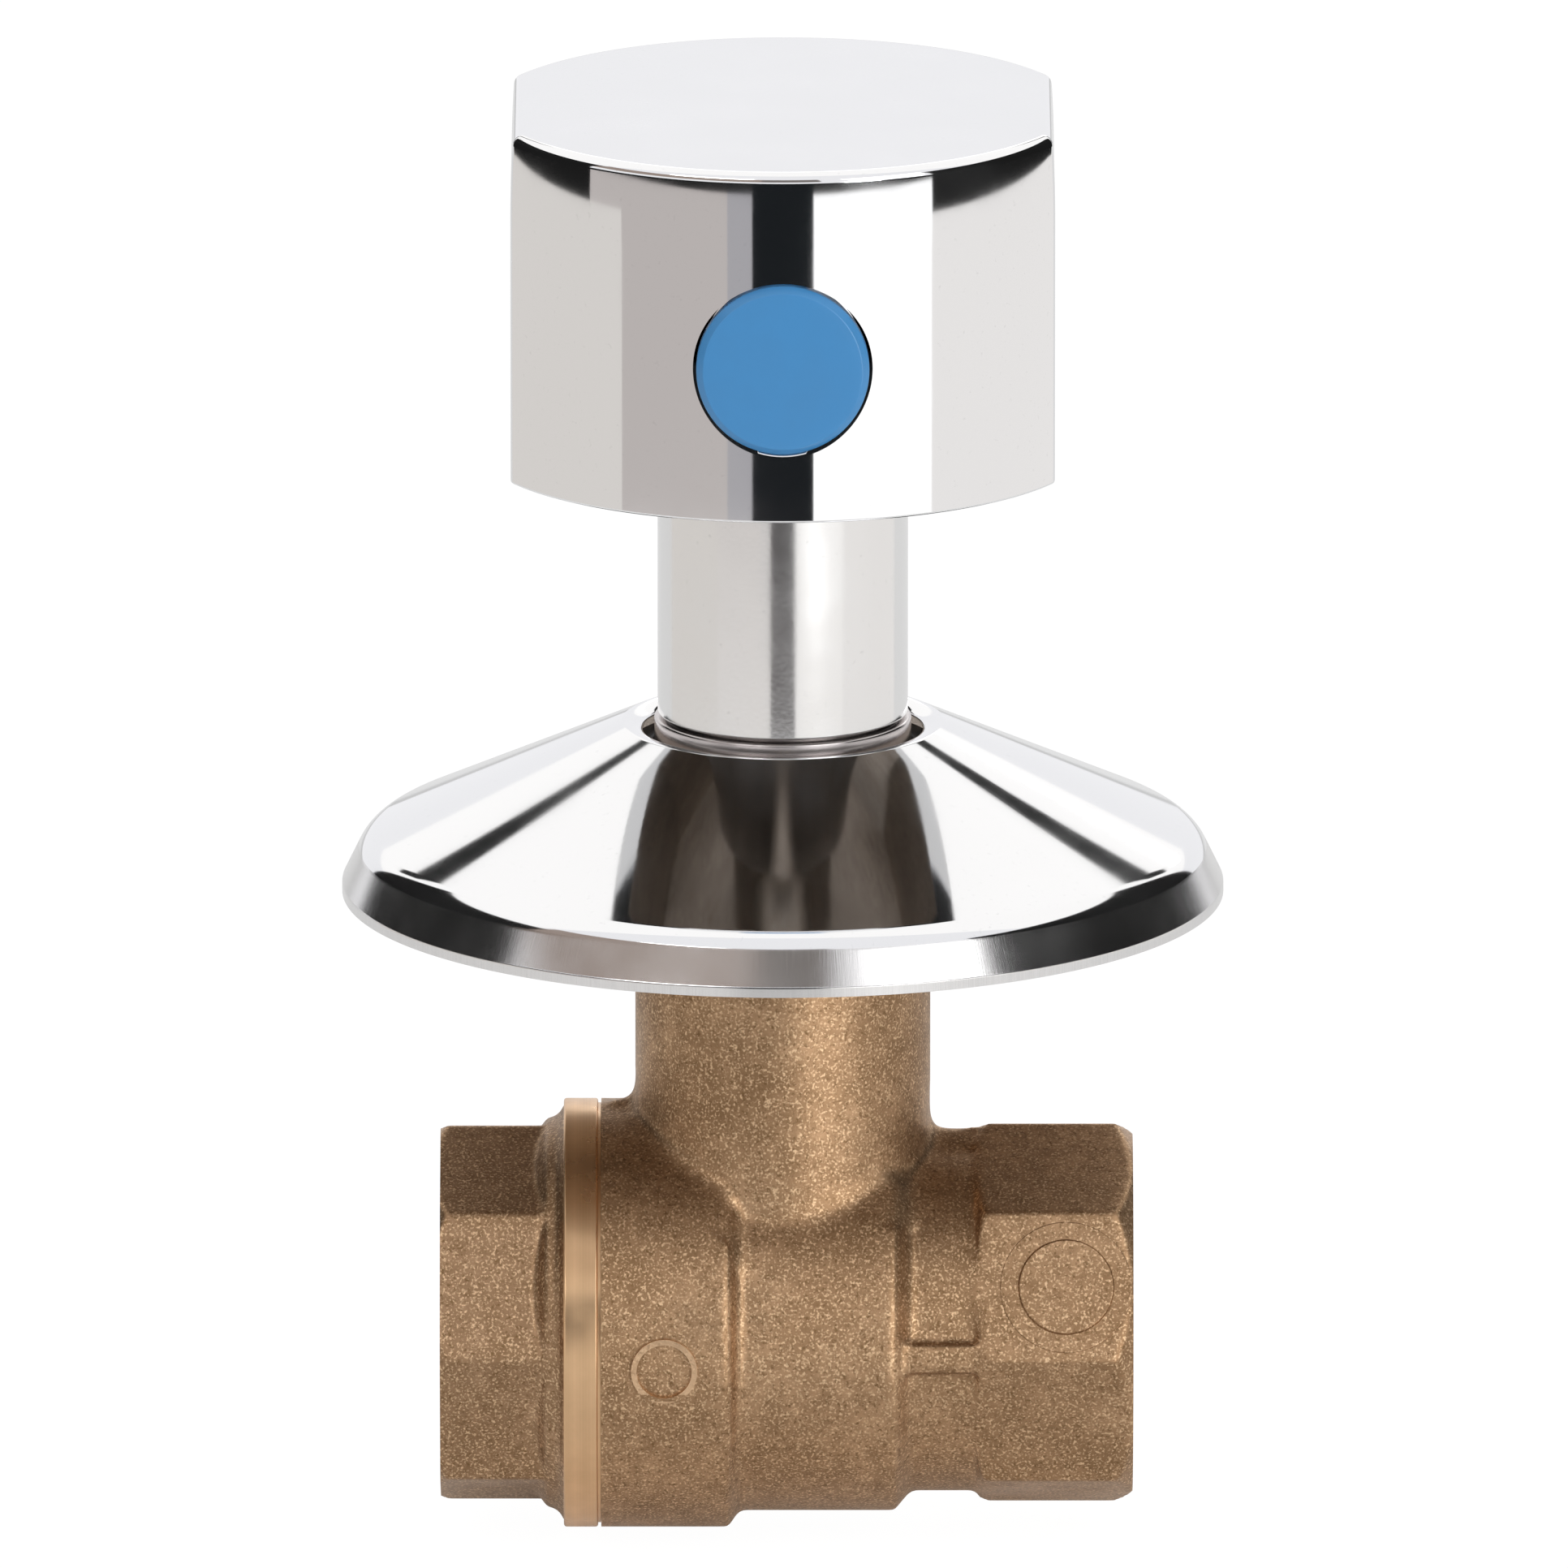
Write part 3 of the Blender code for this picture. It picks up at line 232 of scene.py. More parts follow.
def turned(
    name: str,
    outline: Outline,
    axis: Axis = Axis.STEM,
    steps: int = ROUND,
    centre: Sequence[float] = (0, 0, 0),
    closed: bool = True,
) -> bpy.types.Object:
    """Turns an outline about an axis.

    Args:
        name: The piece's name.
        outline: Points as (radius, distance along the axis). An outline whose two ends lie on the axis
            makes a solid piece, and any other is closed into a ring.
        axis: What it turns about.
        steps: Facets round the piece.
        centre: A point on the axis, from which distances along it are measured.
        closed: False leaves the outline open, for a sheet.

    Returns:
        The turned piece.
    """
    piece = primitive(name, bpy.ops.mesh.primitive_plane_add, size=OVERRUN, calc_uvs=False)
    places = [Vector(centre) + axis.point(radius, along) for radius, along in outline]
    with editing(piece):
        pick_all()
        bpy.ops.mesh.merge(type="CENTER")
        bpy.ops.transform.translate(value=places[0])
        for here, there in zip(places, places[1:]):
            bpy.ops.mesh.extrude_region_move(TRANSFORM_OT_translate={"value": there - here})
        if closed and max(outline[0][0], outline[-1][0]) > TINY:
            ends = (places[0], places[-1])
            pick(piece, Item.VERTEX, lambda vertex: min((vertex.co - end).length for end in ends) < TINY)
            bpy.ops.mesh.edge_face_add()
        pick_all()
        bpy.ops.mesh.spin(
            steps=steps, angle=math.tau, use_auto_merge=True, center=centre, axis=axis.value
        )
        pick_all()
        bpy.ops.mesh.remove_doubles(threshold=TINY)
        face_outwards()
    return piece


def rounded(
    corners: Sequence[tuple[float, float, float]], steps: int = 5, closed: bool = True
) -> Outline:
    """Rounds the corners of an outline.

    Args:
        corners: The outline's corners as (x, y, rounding radius).
        steps: Straight pieces in each rounding.
        closed: Whether the outline's ends are joined. The ends of an open one aren't rounded.

    Returns:
        The rounded outline as (x, y) points.
    """
    points = []
    count = len(corners)
    for i, (x, y, radius) in enumerate(corners):
        here = Vector((x, y))
        if not radius or (not closed and i in (0, count - 1)):
            points.append((x, y))
            continue
        before = Vector(corners[i - 1][:2]) - here
        after = Vector(corners[(i + 1) % count][:2]) - here
        half = before.angle(after) / 2
        reach = min(radius / math.tan(half), 0.499 * before.length, 0.499 * after.length)
        start = before.normalized() * reach
        end = after.normalized() * reach
        centre = (start + end).normalized() * (reach / math.cos(half))
        for step in range(steps + 1):
            spoke = (start - centre).slerp(end - centre, step / steps)
            points.append(tuple(here + centre + spoke * (start - centre).length))
    return points


def ring_outline(
    inner: float, outer: float, low: float, high: float, edge: float = 0.0
) -> Outline:
    """The section of a plain ring or tube, with its four edges rounded."""
    corners = ((outer, high), (outer, low), (inner, low), (inner, high))
    return rounded([(radius, along, edge) for radius, along in corners], steps=3)


def rod_outline(radius: float, low: float, high: float) -> Outline:
    """The outline of a plain rod."""
    return [(0, low), (radius, low), (radius, high), (0, high)]


def block(name: str, low: Sequence[float], high: Sequence[float]) -> bpy.types.Object:
    """A rectangular tool between two corners, made from a cube.

    Args:
        name: Its name.
        low: Its lowest corner.
        high: Its highest corner.

    Returns:
        The block.
    """
    piece = primitive(name, bpy.ops.mesh.primitive_cube_add, size=1, calc_uvs=False)
    low, high = Vector(low), Vector(high)
    with editing(piece):
        pick_all()
        bpy.ops.transform.resize(value=high - low, center_override=(0, 0, 0))
        bpy.ops.transform.translate(value=(low + high) / 2)
    return piece


def apply(piece: bpy.types.Object, kind: str, **settings: object) -> None:
    """Adds a modifier with these settings to a piece and applies it.

    Args:
        piece: The piece.
        kind: The modifier's type.
        settings: The modifier's settings.
    """
    activate(piece)
    modifier = piece.modifiers.new(kind.lower(), kind)
    for name, value in settings.items():
        setattr(modifier, name, value)
    bpy.ops.object.modifier_apply(modifier=modifier.name)


def combine(target: bpy.types.Object, tool: bpy.types.Object, join: Join) -> None:
    """Joins a tool to a piece, or cuts the piece with it, and removes the tool.

    Args:
        target: The piece that is changed.
        tool: The other solid.
        join: How they are combined.
    """
    apply(target, "BOOLEAN", object=tool, operation=join.value, solver="MANIFOLD")
    bpy.data.objects.remove(tool, do_unlink=True)


def trim(piece: bpy.types.Object, place: Sequence[float], normal: Sequence[float]) -> None:
    """Machines a piece flat: what lies beyond a plane is cut off and the cut is closed.

    Args:
        piece: The piece.
        place: A point on the plane.
        normal: Points to what is cut off.
    """
    with editing(piece):
        pick_all()
        bpy.ops.mesh.bisect(
            plane_co=place, plane_no=normal, use_fill=True, clear_outer=True, threshold=TINY
        )


def forged(piece: bpy.types.Object, voxel: float, rounding: int) -> None:
    """Gives a joined blank the softened edges of a forging.

    Args:
        piece: The blank.
        voxel: Size of the grid that it is remeshed on.
        rounding: Times that its edges are smoothed.
    """
    apply(piece, "REMESH", mode="VOXEL", voxel_size=voxel)
    apply(piece, "SMOOTH", factor=0.5, iterations=rounding)


def octagon_bar(
    name: str, flat: float, start: float, end: float, start_cut: float, end_cut: float
) -> bpy.types.Object:
    """A forged octagon along the pipe that stands on a corner, with its corners turned down.

    Args:
        name: The bar's name.
        flat: Distance from the axis to the flats.
        start: Where it starts, along X.
        end: Where its machined face will be. The bar runs past it by RAW_END.
        start_cut: Chamfer on the corners at its start.
        end_cut: Chamfer on the corners at its end.

    Returns:
        The bar.
    """
    corner = flat / math.cos(FACET_TURN)
    outward = math.copysign(1, end - start)
    raw = end + RAW_END * outward
    bar = primitive(
        name,
        bpy.ops.mesh.primitive_cylinder_add,
        vertices=8,
        radius=corner,
        depth=abs(raw - start),
        location=((start + raw) / 2, 0, 0),
        rotation=(0, math.pi / 2, 0),
    )
    blank = [
        (0, start - OVERRUN * outward),
        (corner - start_cut, start - OVERRUN * outward),
        (corner - start_cut, start),
        (corner + OVERRUN, start + (start_cut + OVERRUN) * outward),
        (corner + OVERRUN, end - (end_cut + OVERRUN) * outward),
        (corner - end_cut - OVERRUN, end + OVERRUN * outward),
        (0, end + OVERRUN * outward),
    ]
    combine(bar, turned(name + "_blank", blank, Axis.PIPE, HIDDEN_ROUND), Join.COMMON)
    return bar


@dataclass(frozen=True)
class PipeThread:
    """The female pipe thread of both ends."""

    crest: float = 12.05 * MM
    depth: float = 1.05 * MM
    pitch: float = 1.814 * MM
    groove_share: float = 0.84  # the groove's width at the crest, as a share of the pitch
    root_share: float = 0.16
    turns: int = 7
    steps: int = 60
    socket_depth: float = 14.5 * MM
    chamfer: float = 0.9 * MM

    def socket(self, mouth: float, outward: int) -> Outline:
        """The outline that bores a socket, from its floor out past its mouth.

        Args:
            mouth: Where the socket opens, along X.
            outward: 1 where it opens towards +X, -1 towards -X.

        Returns:
            The outline's points from the socket's wall on.
        """
        return [
            (self.crest, mouth - self.socket_depth * outward),
            (self.crest, mouth - self.chamfer * outward),
            (self.crest + self.chamfer + OVERRUN, mouth + OVERRUN * outward),
            (0, mouth + OVERRUN * outward),
        ]

    def cutter(self, name: str, mouth: float, outward: int) -> bpy.types.Object:
        """Makes the coil that cuts the thread.

        Args:
            name: The coil's name.
            mouth: Where the socket opens, along X.
            outward: 1 where the socket opens towards +X, -1 towards -X.

        Returns:
            A closed coil of the thread's groove.
        """
        low = self.crest - self.depth / 4
        high = self.crest + self.depth
        width = self.pitch * self.groove_share
        start = mouth + self.pitch * outward
        upright = (math.pi / 2, 0, 0)
        coil = primitive(
            name, bpy.ops.mesh.primitive_plane_add, size=1, rotation=upright, calc_uvs=False
        )
        with editing(coil):
            pick_all()
            bpy.ops.transform.resize(value=(width, 1, high - low), center_override=(0, 0, 0))
            bpy.ops.transform.translate(value=(start, 0, (low + high) / 2))
            pick(coil, Item.VERTEX, lambda vertex: vertex.co.z > (low + high) / 2)
            bpy.ops.transform.resize(
                value=(self.root_share / self.groove_share, 1, 1), center_override=(start, 0, high)
            )
            pick_all()
            bpy.ops.mesh.delete(type="ONLY_FACE")
        apply(
            coil,
            "SCREW",
            axis="X",
            screw_offset=-self.pitch * outward,
            iterations=self.turns,
            steps=self.steps,
            render_steps=self.steps,
            use_merge_vertices=False,
        )
        with editing(coil):
            pick_all()
            bpy.ops.mesh.fill_holes(sides=4)
            face_outwards()
        return coil


THREAD = PipeThread()


def dress(piece: bpy.types.Object, *materials: bpy.types.Material) -> None:
    """Gives a piece its materials in place of any that it has.

    Args:
        piece: The piece.
        materials: The materials, in the order of their numbers.
    """
    piece.data.materials.clear()
    for material in materials:
        piece.data.materials.append(material)


def paint(piece: bpy.types.Object, index: int, wanted: Callable[..., bool]) -> None:
    """Gives the faces that a test picks another of the piece's materials.

    Args:
        piece: The piece.
        index: The material's number on the piece.
        wanted: Says of one face whether it is meant.
    """
    with editing(piece):
        pick(piece, Item.FACE, wanted)
        piece.active_material_index = index
        bpy.ops.object.material_slot_assign()


def smooth(piece: bpy.types.Object) -> None:
    """Shades a piece smooth, apart from its sharp edges, with large faces kept flat.

    Args:
        piece: The piece.
    """
    activate(piece)
    bpy.ops.object.shade_smooth_by_angle(angle=SMOOTH_ANGLE)
    apply(piece, "WEIGHTED_NORMAL", mode="FACE_AREA", weight=100, keep_sharp=True)


def publish(piece: bpy.types.Object, body: Body, node: str) -> bpy.types.Object:
    """Hangs a finished piece on its body, in place of its CAD node.

    Args:
        piece: The finished piece.
        body: The body that it rides on.
        node: The CAD node that it stands for.

    Returns:
        The piece.
    """
    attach(piece, body.value)
    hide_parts(node)
    return piece


# Shader building


class Graph:
    """A node tree that is written as expressions, where each call adds a node."""

    def __init__(self, tree: bpy.types.NodeTree) -> None:
        """Keeps the tree that nodes are added to."""
        self.tree = tree

    def node(
        self, kind: str, inputs: dict[str | int, object] | None = None, **settings: object
    ) -> bpy.types.Node:
        """Adds a node.

        Args:
            kind: The node's type.
            inputs: Values or other nodes' sockets, by the input's name or number.
            settings: The node's own settings.

        Returns:
            The node.
        """
        made = self.tree.nodes.new(kind)
        for name, value in settings.items():
            setattr(made, name, value)
        for name, value in (inputs or {}).items():
            if isinstance(value, bpy.types.NodeSocket):
                self.tree.links.new(value, made.inputs[name])
            else:
                made.inputs[name].default_value = value
        return made

    def place(self) -> bpy.types.NodeSocket:
        """The point on the piece, in object coordinates."""
        return self.node("ShaderNodeTexCoord").outputs["Object"]

    def math(self, operation: str, first: object, second: object = 0.0) -> bpy.types.NodeSocket:
        """Works out one number from one or two others."""
        return self.node("ShaderNodeMath", {0: first, 1: second}, operation=operation).outputs[0]

    def noise(
        self, place: object, scale: object, detail: float = 2.0, rough: float = 0.5
    ) -> bpy.types.NodeSocket:
        """Cloudy values around a half, with a pattern of 1 / scale in size."""
        inputs = {"Vector": place, "Scale": scale, "Detail": detail, "Roughness": rough}
        return self.node("ShaderNodeTexNoise", inputs).outputs["Fac"]

    def bands(
        self, along: object, scale: object, detail: float, rough: float = 0.5
    ) -> bpy.types.NodeSocket:
        """Cloudy values that change along one number only."""
        inputs = {"W": along, "Scale": scale, "Detail": detail, "Roughness": rough}
        return self.node("ShaderNodeTexNoise", inputs, noise_dimensions="1D").outputs["Fac"]

    def spread(
        self, value: object, low: float, high: float, to_low: object = 0.0, to_high: object = 1.0
    ) -> bpy.types.NodeSocket:
        """Maps a value from one range to another and stops it at both ends."""
        inputs = {"Value": value, "From Min": low, "From Max": high, "To Min": to_low, "To Max": to_high}
        return self.node("ShaderNodeMapRange", inputs, clamp=True).outputs["Result"]

    def blend(self, factor: object, first: object, second: object) -> bpy.types.NodeSocket:
        """Blends two colours."""
        inputs = {0: factor, 6: opaque(first), 7: opaque(second)}
        return self.node("ShaderNodeMix", inputs, data_type="RGBA").outputs[2]

    def bump(self, height: object, strength: float, distance: float) -> bpy.types.NodeSocket:
        """A surface normal from a height."""
        inputs = {"Height": height, "Strength": strength, "Distance": distance}
        return self.node("ShaderNodeBump", inputs).outputs["Normal"]

    def feed(self, node: bpy.types.Node, **sockets: bpy.types.NodeSocket) -> None:
        """Links values to a node's inputs, which are named with _ for a space."""
        for name, socket in sockets.items():
            self.tree.links.new(socket, node.inputs[name.replace("_", " ")])

    def mixed(self, share: object, first: bpy.types.Node, second: bpy.types.Node) -> bpy.types.Node:
        """Mixes two shaders."""
        inputs = {0: share, 1: first.outputs[0], 2: second.outputs[0]}
        return self.node("ShaderNodeMixShader", inputs)

    def group(self, kind: "Effect", **inputs: object) -> bpy.types.Node:
        """Adds one of the shared effects.

        Args:
            kind: The effect.
            inputs: Its inputs, named in small letters with _ for a space.

        Returns:
            The group's node.
        """
        made = self.tree.nodes.new("ShaderNodeGroup")
        made.node_tree = kind.tree()
        for name, value in inputs.items():
            socket = made.inputs[name.replace("_", " ").capitalize()]
            if isinstance(value, bpy.types.NodeSocket):
                self.tree.links.new(value, socket)
            else:
                socket.default_value = value
        return made


def bare_graph(owner: bpy.types.Material | bpy.types.World) -> Graph:
    """Gives a material or a world an empty node tree of its own.

    Args:
        owner: The material or world.

    Returns:
        Its graph.
    """
    owner.use_nodes = True
    graph = Graph(owner.node_tree)
    graph.tree.nodes.clear()
    return graph


def opaque(colour: object) -> object:
    """A plain colour with its alpha, or a socket as it is.

    Args:
        colour: Three parts of a colour, or a socket.

    Returns:
        What a colour input takes.
    """
    if isinstance(colour, bpy.types.NodeSocket):
        return colour
    return (*colour, 1.0)


class Effect(Enum):
    """Surface effects that more than one finish uses, each a shader node group."""

    GRAIN = "blasted_grain"
    TOOL_LINES = "tool_lines"
    FILM = "handling_film"
    BRUSH = "brush_strokes"

    def tree(self) -> bpy.types.NodeTree:
        """The effect's node group, built when it is first asked for."""
        return bpy.data.node_groups.get(self.value) or EFFECT_BUILDERS[self](self.value)


def new_effect(
    name: str, inputs: dict[str, tuple[str, object]], outputs: Sequence[str]
) -> tuple[Graph, bpy.types.Node, bpy.types.Node]:
    """Starts a node group.

    Args:
        name: The group's name.
        inputs: Socket type and default of each input, by name.
        outputs: Names of the outputs, which are all plain values.

    Returns:
        The group's graph, its input node and its output node.
    """
    tree = bpy.data.node_groups.new(name, "ShaderNodeTree")
    for label, (kind, value) in inputs.items():
        socket = tree.interface.new_socket(label, in_out="INPUT", socket_type=kind)
        if value is not None:
            socket.default_value = value
    for label in outputs:
        tree.interface.new_socket(label, in_out="OUTPUT", socket_type="NodeSocketFloat")
    graph = Graph(tree)
    return graph, graph.node("NodeGroupInput"), graph.node("NodeGroupOutput")


def blasted_grain(name: str) -> bpy.types.NodeTree:
    """Builds the grain that shot blasting leaves on a forging.

    Args:
        name: The group's name.

    Returns:
        The group, with the grain's height, its glints and its pits.
    """
    inputs = {"Place": ("NodeSocketVector", None), "Scale": ("NodeSocketFloat", 4000.0)}
    graph, given, out = new_effect(name, inputs, ("Height", "Sparkle", "Pits"))
    place, scale = given.outputs["Place"], given.outputs["Scale"]
    fine = graph.noise(place, scale, 2.0, 0.6)
    coarse = graph.noise(place, graph.math("MULTIPLY", scale, 0.42), 2.0, 0.55)
    height = graph.math("ADD", graph.math("MULTIPLY", fine, 0.5), graph.math("MULTIPLY", coarse, 0.6))
    shifted = graph.node("ShaderNodeVectorMath", {0: place, 1: (0.37, 0.11, 0.23)}, operation="ADD")
    glints = graph.noise(shifted.outputs[0], graph.math("MULTIPLY", scale, 0.7), 1.0, 0.5)
    sparkle, pits = graph.spread(glints, 0.52, 0.72), graph.spread(coarse, 0.46, 0.30)
    graph.feed(out, Height=height, Sparkle=sparkle, Pits=pits)
    return graph.tree


def tool_lines(name: str) -> bpy.types.NodeTree:
    """Builds the fine lines that a lathe tool leaves, one after another along the axis.

    Args:
        name: The group's name.

    Returns:
        The group, with the lines' height and how dark they are.
    """
    inputs = {"Along": ("NodeSocketFloat", 0.0), "Scale": ("NodeSocketFloat", 9000.0)}
    graph, given, out = new_effect(name, inputs, ("Height", "Shade"))
    along, scale = given.outputs["Along"], given.outputs["Scale"]
    lines = graph.bands(along, scale, 3.0, 0.7)
    broad = graph.bands(along, graph.math("MULTIPLY", scale, 0.12), 2.0)
    shade = graph.math("MULTIPLY", graph.math("ADD", lines, broad), 0.5)
    graph.feed(out, Height=lines, Shade=graph.spread(shade, 0.3, 0.7))
    return graph.tree


def handling_film(name: str) -> bpy.types.NodeTree:
    """Builds the faint film and the small marks that handling leaves on a bright surface.

    Args:
        name: The group's name.

    Returns:
        The group, with the film and the marks.
    """
    inputs = {"Place": ("NodeSocketVector", None), "Scale": ("NodeSocketFloat", 60.0)}
    graph, given, out = new_effect(name, inputs, ("Film", "Specks"))
    place, scale = given.outputs["Place"], given.outputs["Scale"]
    film = graph.noise(place, scale, 4.0, 0.6)
    specks = graph.noise(place, graph.math("MULTIPLY", scale, 30.0), 2.0, 0.5)
    graph.feed(out, Film=graph.spread(film, 0.35, 0.7), Specks=graph.spread(specks, 0.66, 0.8))
    return graph.tree


def brush_strokes(name: str) -> bpy.types.NodeTree:
    """Builds brush strokes that run up a skirt or round it, about the stem.

    Args:
        name: The group's name.

    Returns:
        The group, with the strokes' height and how dark they are.
    """
    inputs = {
        "Place": ("NodeSocketVector", None),
        "Across": ("NodeSocketFloat", 100.0),
        "Up": ("NodeSocketFloat", 100.0),
    }
    graph, given, out = new_effect(name, inputs, ("Height", "Shade"))
    parts = graph.node("ShaderNodeSeparateXYZ", {0: given.outputs["Place"]}).outputs
    turn = graph.math("ARCTAN2", parts["Y"], parts["X"])
    strokes = graph.node(
        "ShaderNodeCombineXYZ",
        {
            0: graph.math("MULTIPLY", turn, given.outputs["Across"]),
            1: graph.math("MULTIPLY", parts["Z"], given.outputs["Up"]),
        },
    ).outputs[0]
    fine = graph.noise(strokes, 1.0, 3.0, 0.65)
    graph.feed(out, Height=fine, Shade=graph.spread(fine, 0.3, 0.7))
    return graph.tree


EFFECT_BUILDERS = {
    Effect.GRAIN: blasted_grain,
    Effect.TOOL_LINES: tool_lines,
    Effect.FILM: handling_film,
    Effect.BRUSH: brush_strokes,
}


# Finishes


@dataclass(frozen=True)
class Finish:
    """What every finish has: a name, a colour and how rough it is."""

    name: str
    colour: Colour
    roughness: float
    metallic: float = 0.0

    def material(self) -> bpy.types.Material:
        """Builds the finish as a material.

        Returns:
            The material.
        """
        made = bpy.data.materials.new(self.name)
        made.use_nodes = True
        shader = made.node_tree.nodes["Principled BSDF"]
        shader.inputs["Metallic"].default_value = self.metallic
        shader.inputs["Roughness"].default_value = self.roughness
        shader.inputs["Base Color"].default_value = (*self.colour, 1.0)
        self.shade(Graph(made.node_tree), shader)
        return made

    def shade(self, graph: Graph, shader: bpy.types.Node) -> None:
        """Adds what changes over the surface.

        Args:
            graph: The material's graph.
            shader: Its Principled BSDF.
        """
        raise NotImplementedError

    def darker(self, share: float) -> Colour:
        """The finish's colour at a share of its brightness."""
        return tuple(part * share for part in self.colour)


@dataclass(frozen=True)
class BlastedBrass(Finish):
    """Hot forged brass after shot blasting: brown, matt and full of small glints."""

    metallic: float = 1.0
    dark: Colour = (0.20, 0.115, 0.055)
    bright: Colour = (0.78, 0.55, 0.34)
    grain: float = 6200.0
    clouds: float = 85.0
    mottling: float = 620.0
    relief: float = 0.05 * MM

    def shade(self, graph: Graph, shader: bpy.types.Node) -> None:
        """Adds clouds of tarnish, blasting grain and glints.

        Args:
            graph: The material's graph.
            shader: Its Principled BSDF.
        """
        place = graph.place()
        grain = graph.group(Effect.GRAIN, place=place, scale=self.grain).outputs
        cloud = graph.noise(place, self.clouds, 3.0, 0.55)
        mottle = graph.noise(place, self.mottling, 3.0, 0.6)
        base = graph.blend(graph.spread(cloud, 0.32, 0.68, 0.0, 0.60), self.colour, self.dark)
        base = graph.blend(graph.spread(mottle, 0.35, 0.65, 0.0, 0.50), base, self.dark)
        base = graph.blend(graph.math("MULTIPLY", grain["Pits"], 0.9), base, self.dark)
        base = graph.blend(graph.math("MULTIPLY", grain["Sparkle"], 0.90), base, self.bright)
        rough = graph.spread(cloud, 0.3, 0.7, self.roughness - 0.06, self.roughness + 0.08)
        height = graph.math("ADD", grain["Height"], graph.math("MULTIPLY", mottle, 0.8))
        normal = graph.bump(height, 0.55, self.relief)
        graph.feed(shader, Base_Color=base, Roughness=rough, Normal=normal)


@dataclass(frozen=True)
class TurnedBrass(Finish):
    """Brass as a lathe leaves it, with fine lines about one of the main axes."""

    metallic: float = 1.0
    dark: Colour = (0.36, 0.24, 0.12)
    along: str = "X"
    spacing: float = 0.10 * MM
    relief: float = 0.02 * MM
    film_scale: float = 150.0

    def shade(self, graph: Graph, shader: bpy.types.Node) -> None:
        """Adds tool lines and a little tarnish.

        Args:
            graph: The material's graph.
            shader: Its Principled BSDF.
        """
        place = graph.place()
        parts = graph.node("ShaderNodeSeparateXYZ", {0: place}).outputs
        lines = graph.group(Effect.TOOL_LINES, along=parts[self.along], scale=1 / self.spacing).outputs
        film = graph.group(Effect.FILM, place=place, scale=self.film_scale).outputs
        base = graph.blend(graph.math("MULTIPLY", lines["Shade"], 0.35), self.colour, self.dark)
        base = graph.blend(graph.math("MULTIPLY", film["Film"], 0.3), base, self.dark)
        rough = graph.spread(film["Film"], 0.0, 1.0, self.roughness, self.roughness + 0.12)
        normal = graph.bump(lines["Height"], 0.25, self.relief)
        graph.feed(shader, Base_Color=base, Roughness=rough, Normal=normal)


@dataclass(frozen=True)
class Chrome(Finish):
    """Bright chrome plate, with the slight waves of its polished base and a faint film."""

    metallic: float = 1.0
    film: float = 0.04  # what the film adds to the roughness
    film_scale: float = 70.0
    waves: float = 0.02 * MM
    wave_scale: float = 90.0

    def shade(self, graph: Graph, shader: bpy.types.Node) -> None:
        """Adds film, specks and waves.

        Args:
            graph: The material's graph.
            shader: Its Principled BSDF.
        """
        place = graph.place()
        film = graph.group(Effect.FILM, place=place, scale=self.film_scale).outputs
        base = graph.blend(graph.math("MULTIPLY", film["Specks"], 0.25), self.colour, self.darker(0.7))
        rough = graph.spread(film["Film"], 0.0, 1.0, self.roughness, self.roughness + self.film)
        normal = graph.bump(graph.noise(place, self.wave_scale, 1.0, 0.4), 0.1, self.waves)
        graph.feed(shader, Base_Color=base, Roughness=rough, Normal=normal)


@dataclass(frozen=True)
class BrushedChrome(Finish):
    """Chrome over a brushed base: soft strokes that widen the reflections across them."""

    metallic: float = 1.0
    across: float = 420.0  # strokes for each turn of a radian
    up: float = 120.0
    relief: float = 0.01 * MM
    film_scale: float = 90.0

    def shade(self, graph: Graph, shader: bpy.types.Node) -> None:
        """Adds the strokes and the film.

        Args:
            graph: The material's graph.
            shader: Its Principled BSDF.
        """
        place = graph.place()
        strokes = graph.group(Effect.BRUSH, place=place, across=self.across, up=self.up).outputs
        film = graph.group(Effect.FILM, place=place, scale=self.film_scale).outputs
        base = graph.blend(graph.math("MULTIPLY", strokes["Shade"], 0.3), self.colour, self.darker(0.6))
        rough = graph.spread(film["Film"], 0.0, 1.0, self.roughness, self.roughness + 0.08)
        normal = graph.bump(strokes["Height"], 0.35, self.relief)
        graph.feed(shader, Base_Color=base, Roughness=rough, Normal=normal)


@dataclass(frozen=True)
class Moulded(Finish):
    """Plastic, rubber, PTFE or fibre: an even colour with fine texture and faint marks."""

    texture: float = 2600.0
    relief: float = 0.008 * MM
    variation: float = 0.10  # how much darker the colour gets in places
    film_scale: float = 160.0

    def shade(self, graph: Graph, shader: bpy.types.Node) -> None:
        """Adds a slight change of colour and a fine texture.

        Args:
            graph: The material's graph.
            shader: Its Principled BSDF.
        """
        place = graph.place()
        film = graph.group(Effect.FILM, place=place, scale=self.film_scale).outputs
        base = graph.blend(film["Film"], self.colour, self.darker(1 - self.variation))
        rough = graph.spread(film["Film"], 0.0, 1.0, self.roughness, self.roughness + 0.06)
        normal = graph.bump(graph.noise(place, self.texture, 2.0, 0.5), 0.3, self.relief)
        graph.feed(shader, Base_Color=base, Roughness=rough, Normal=normal)


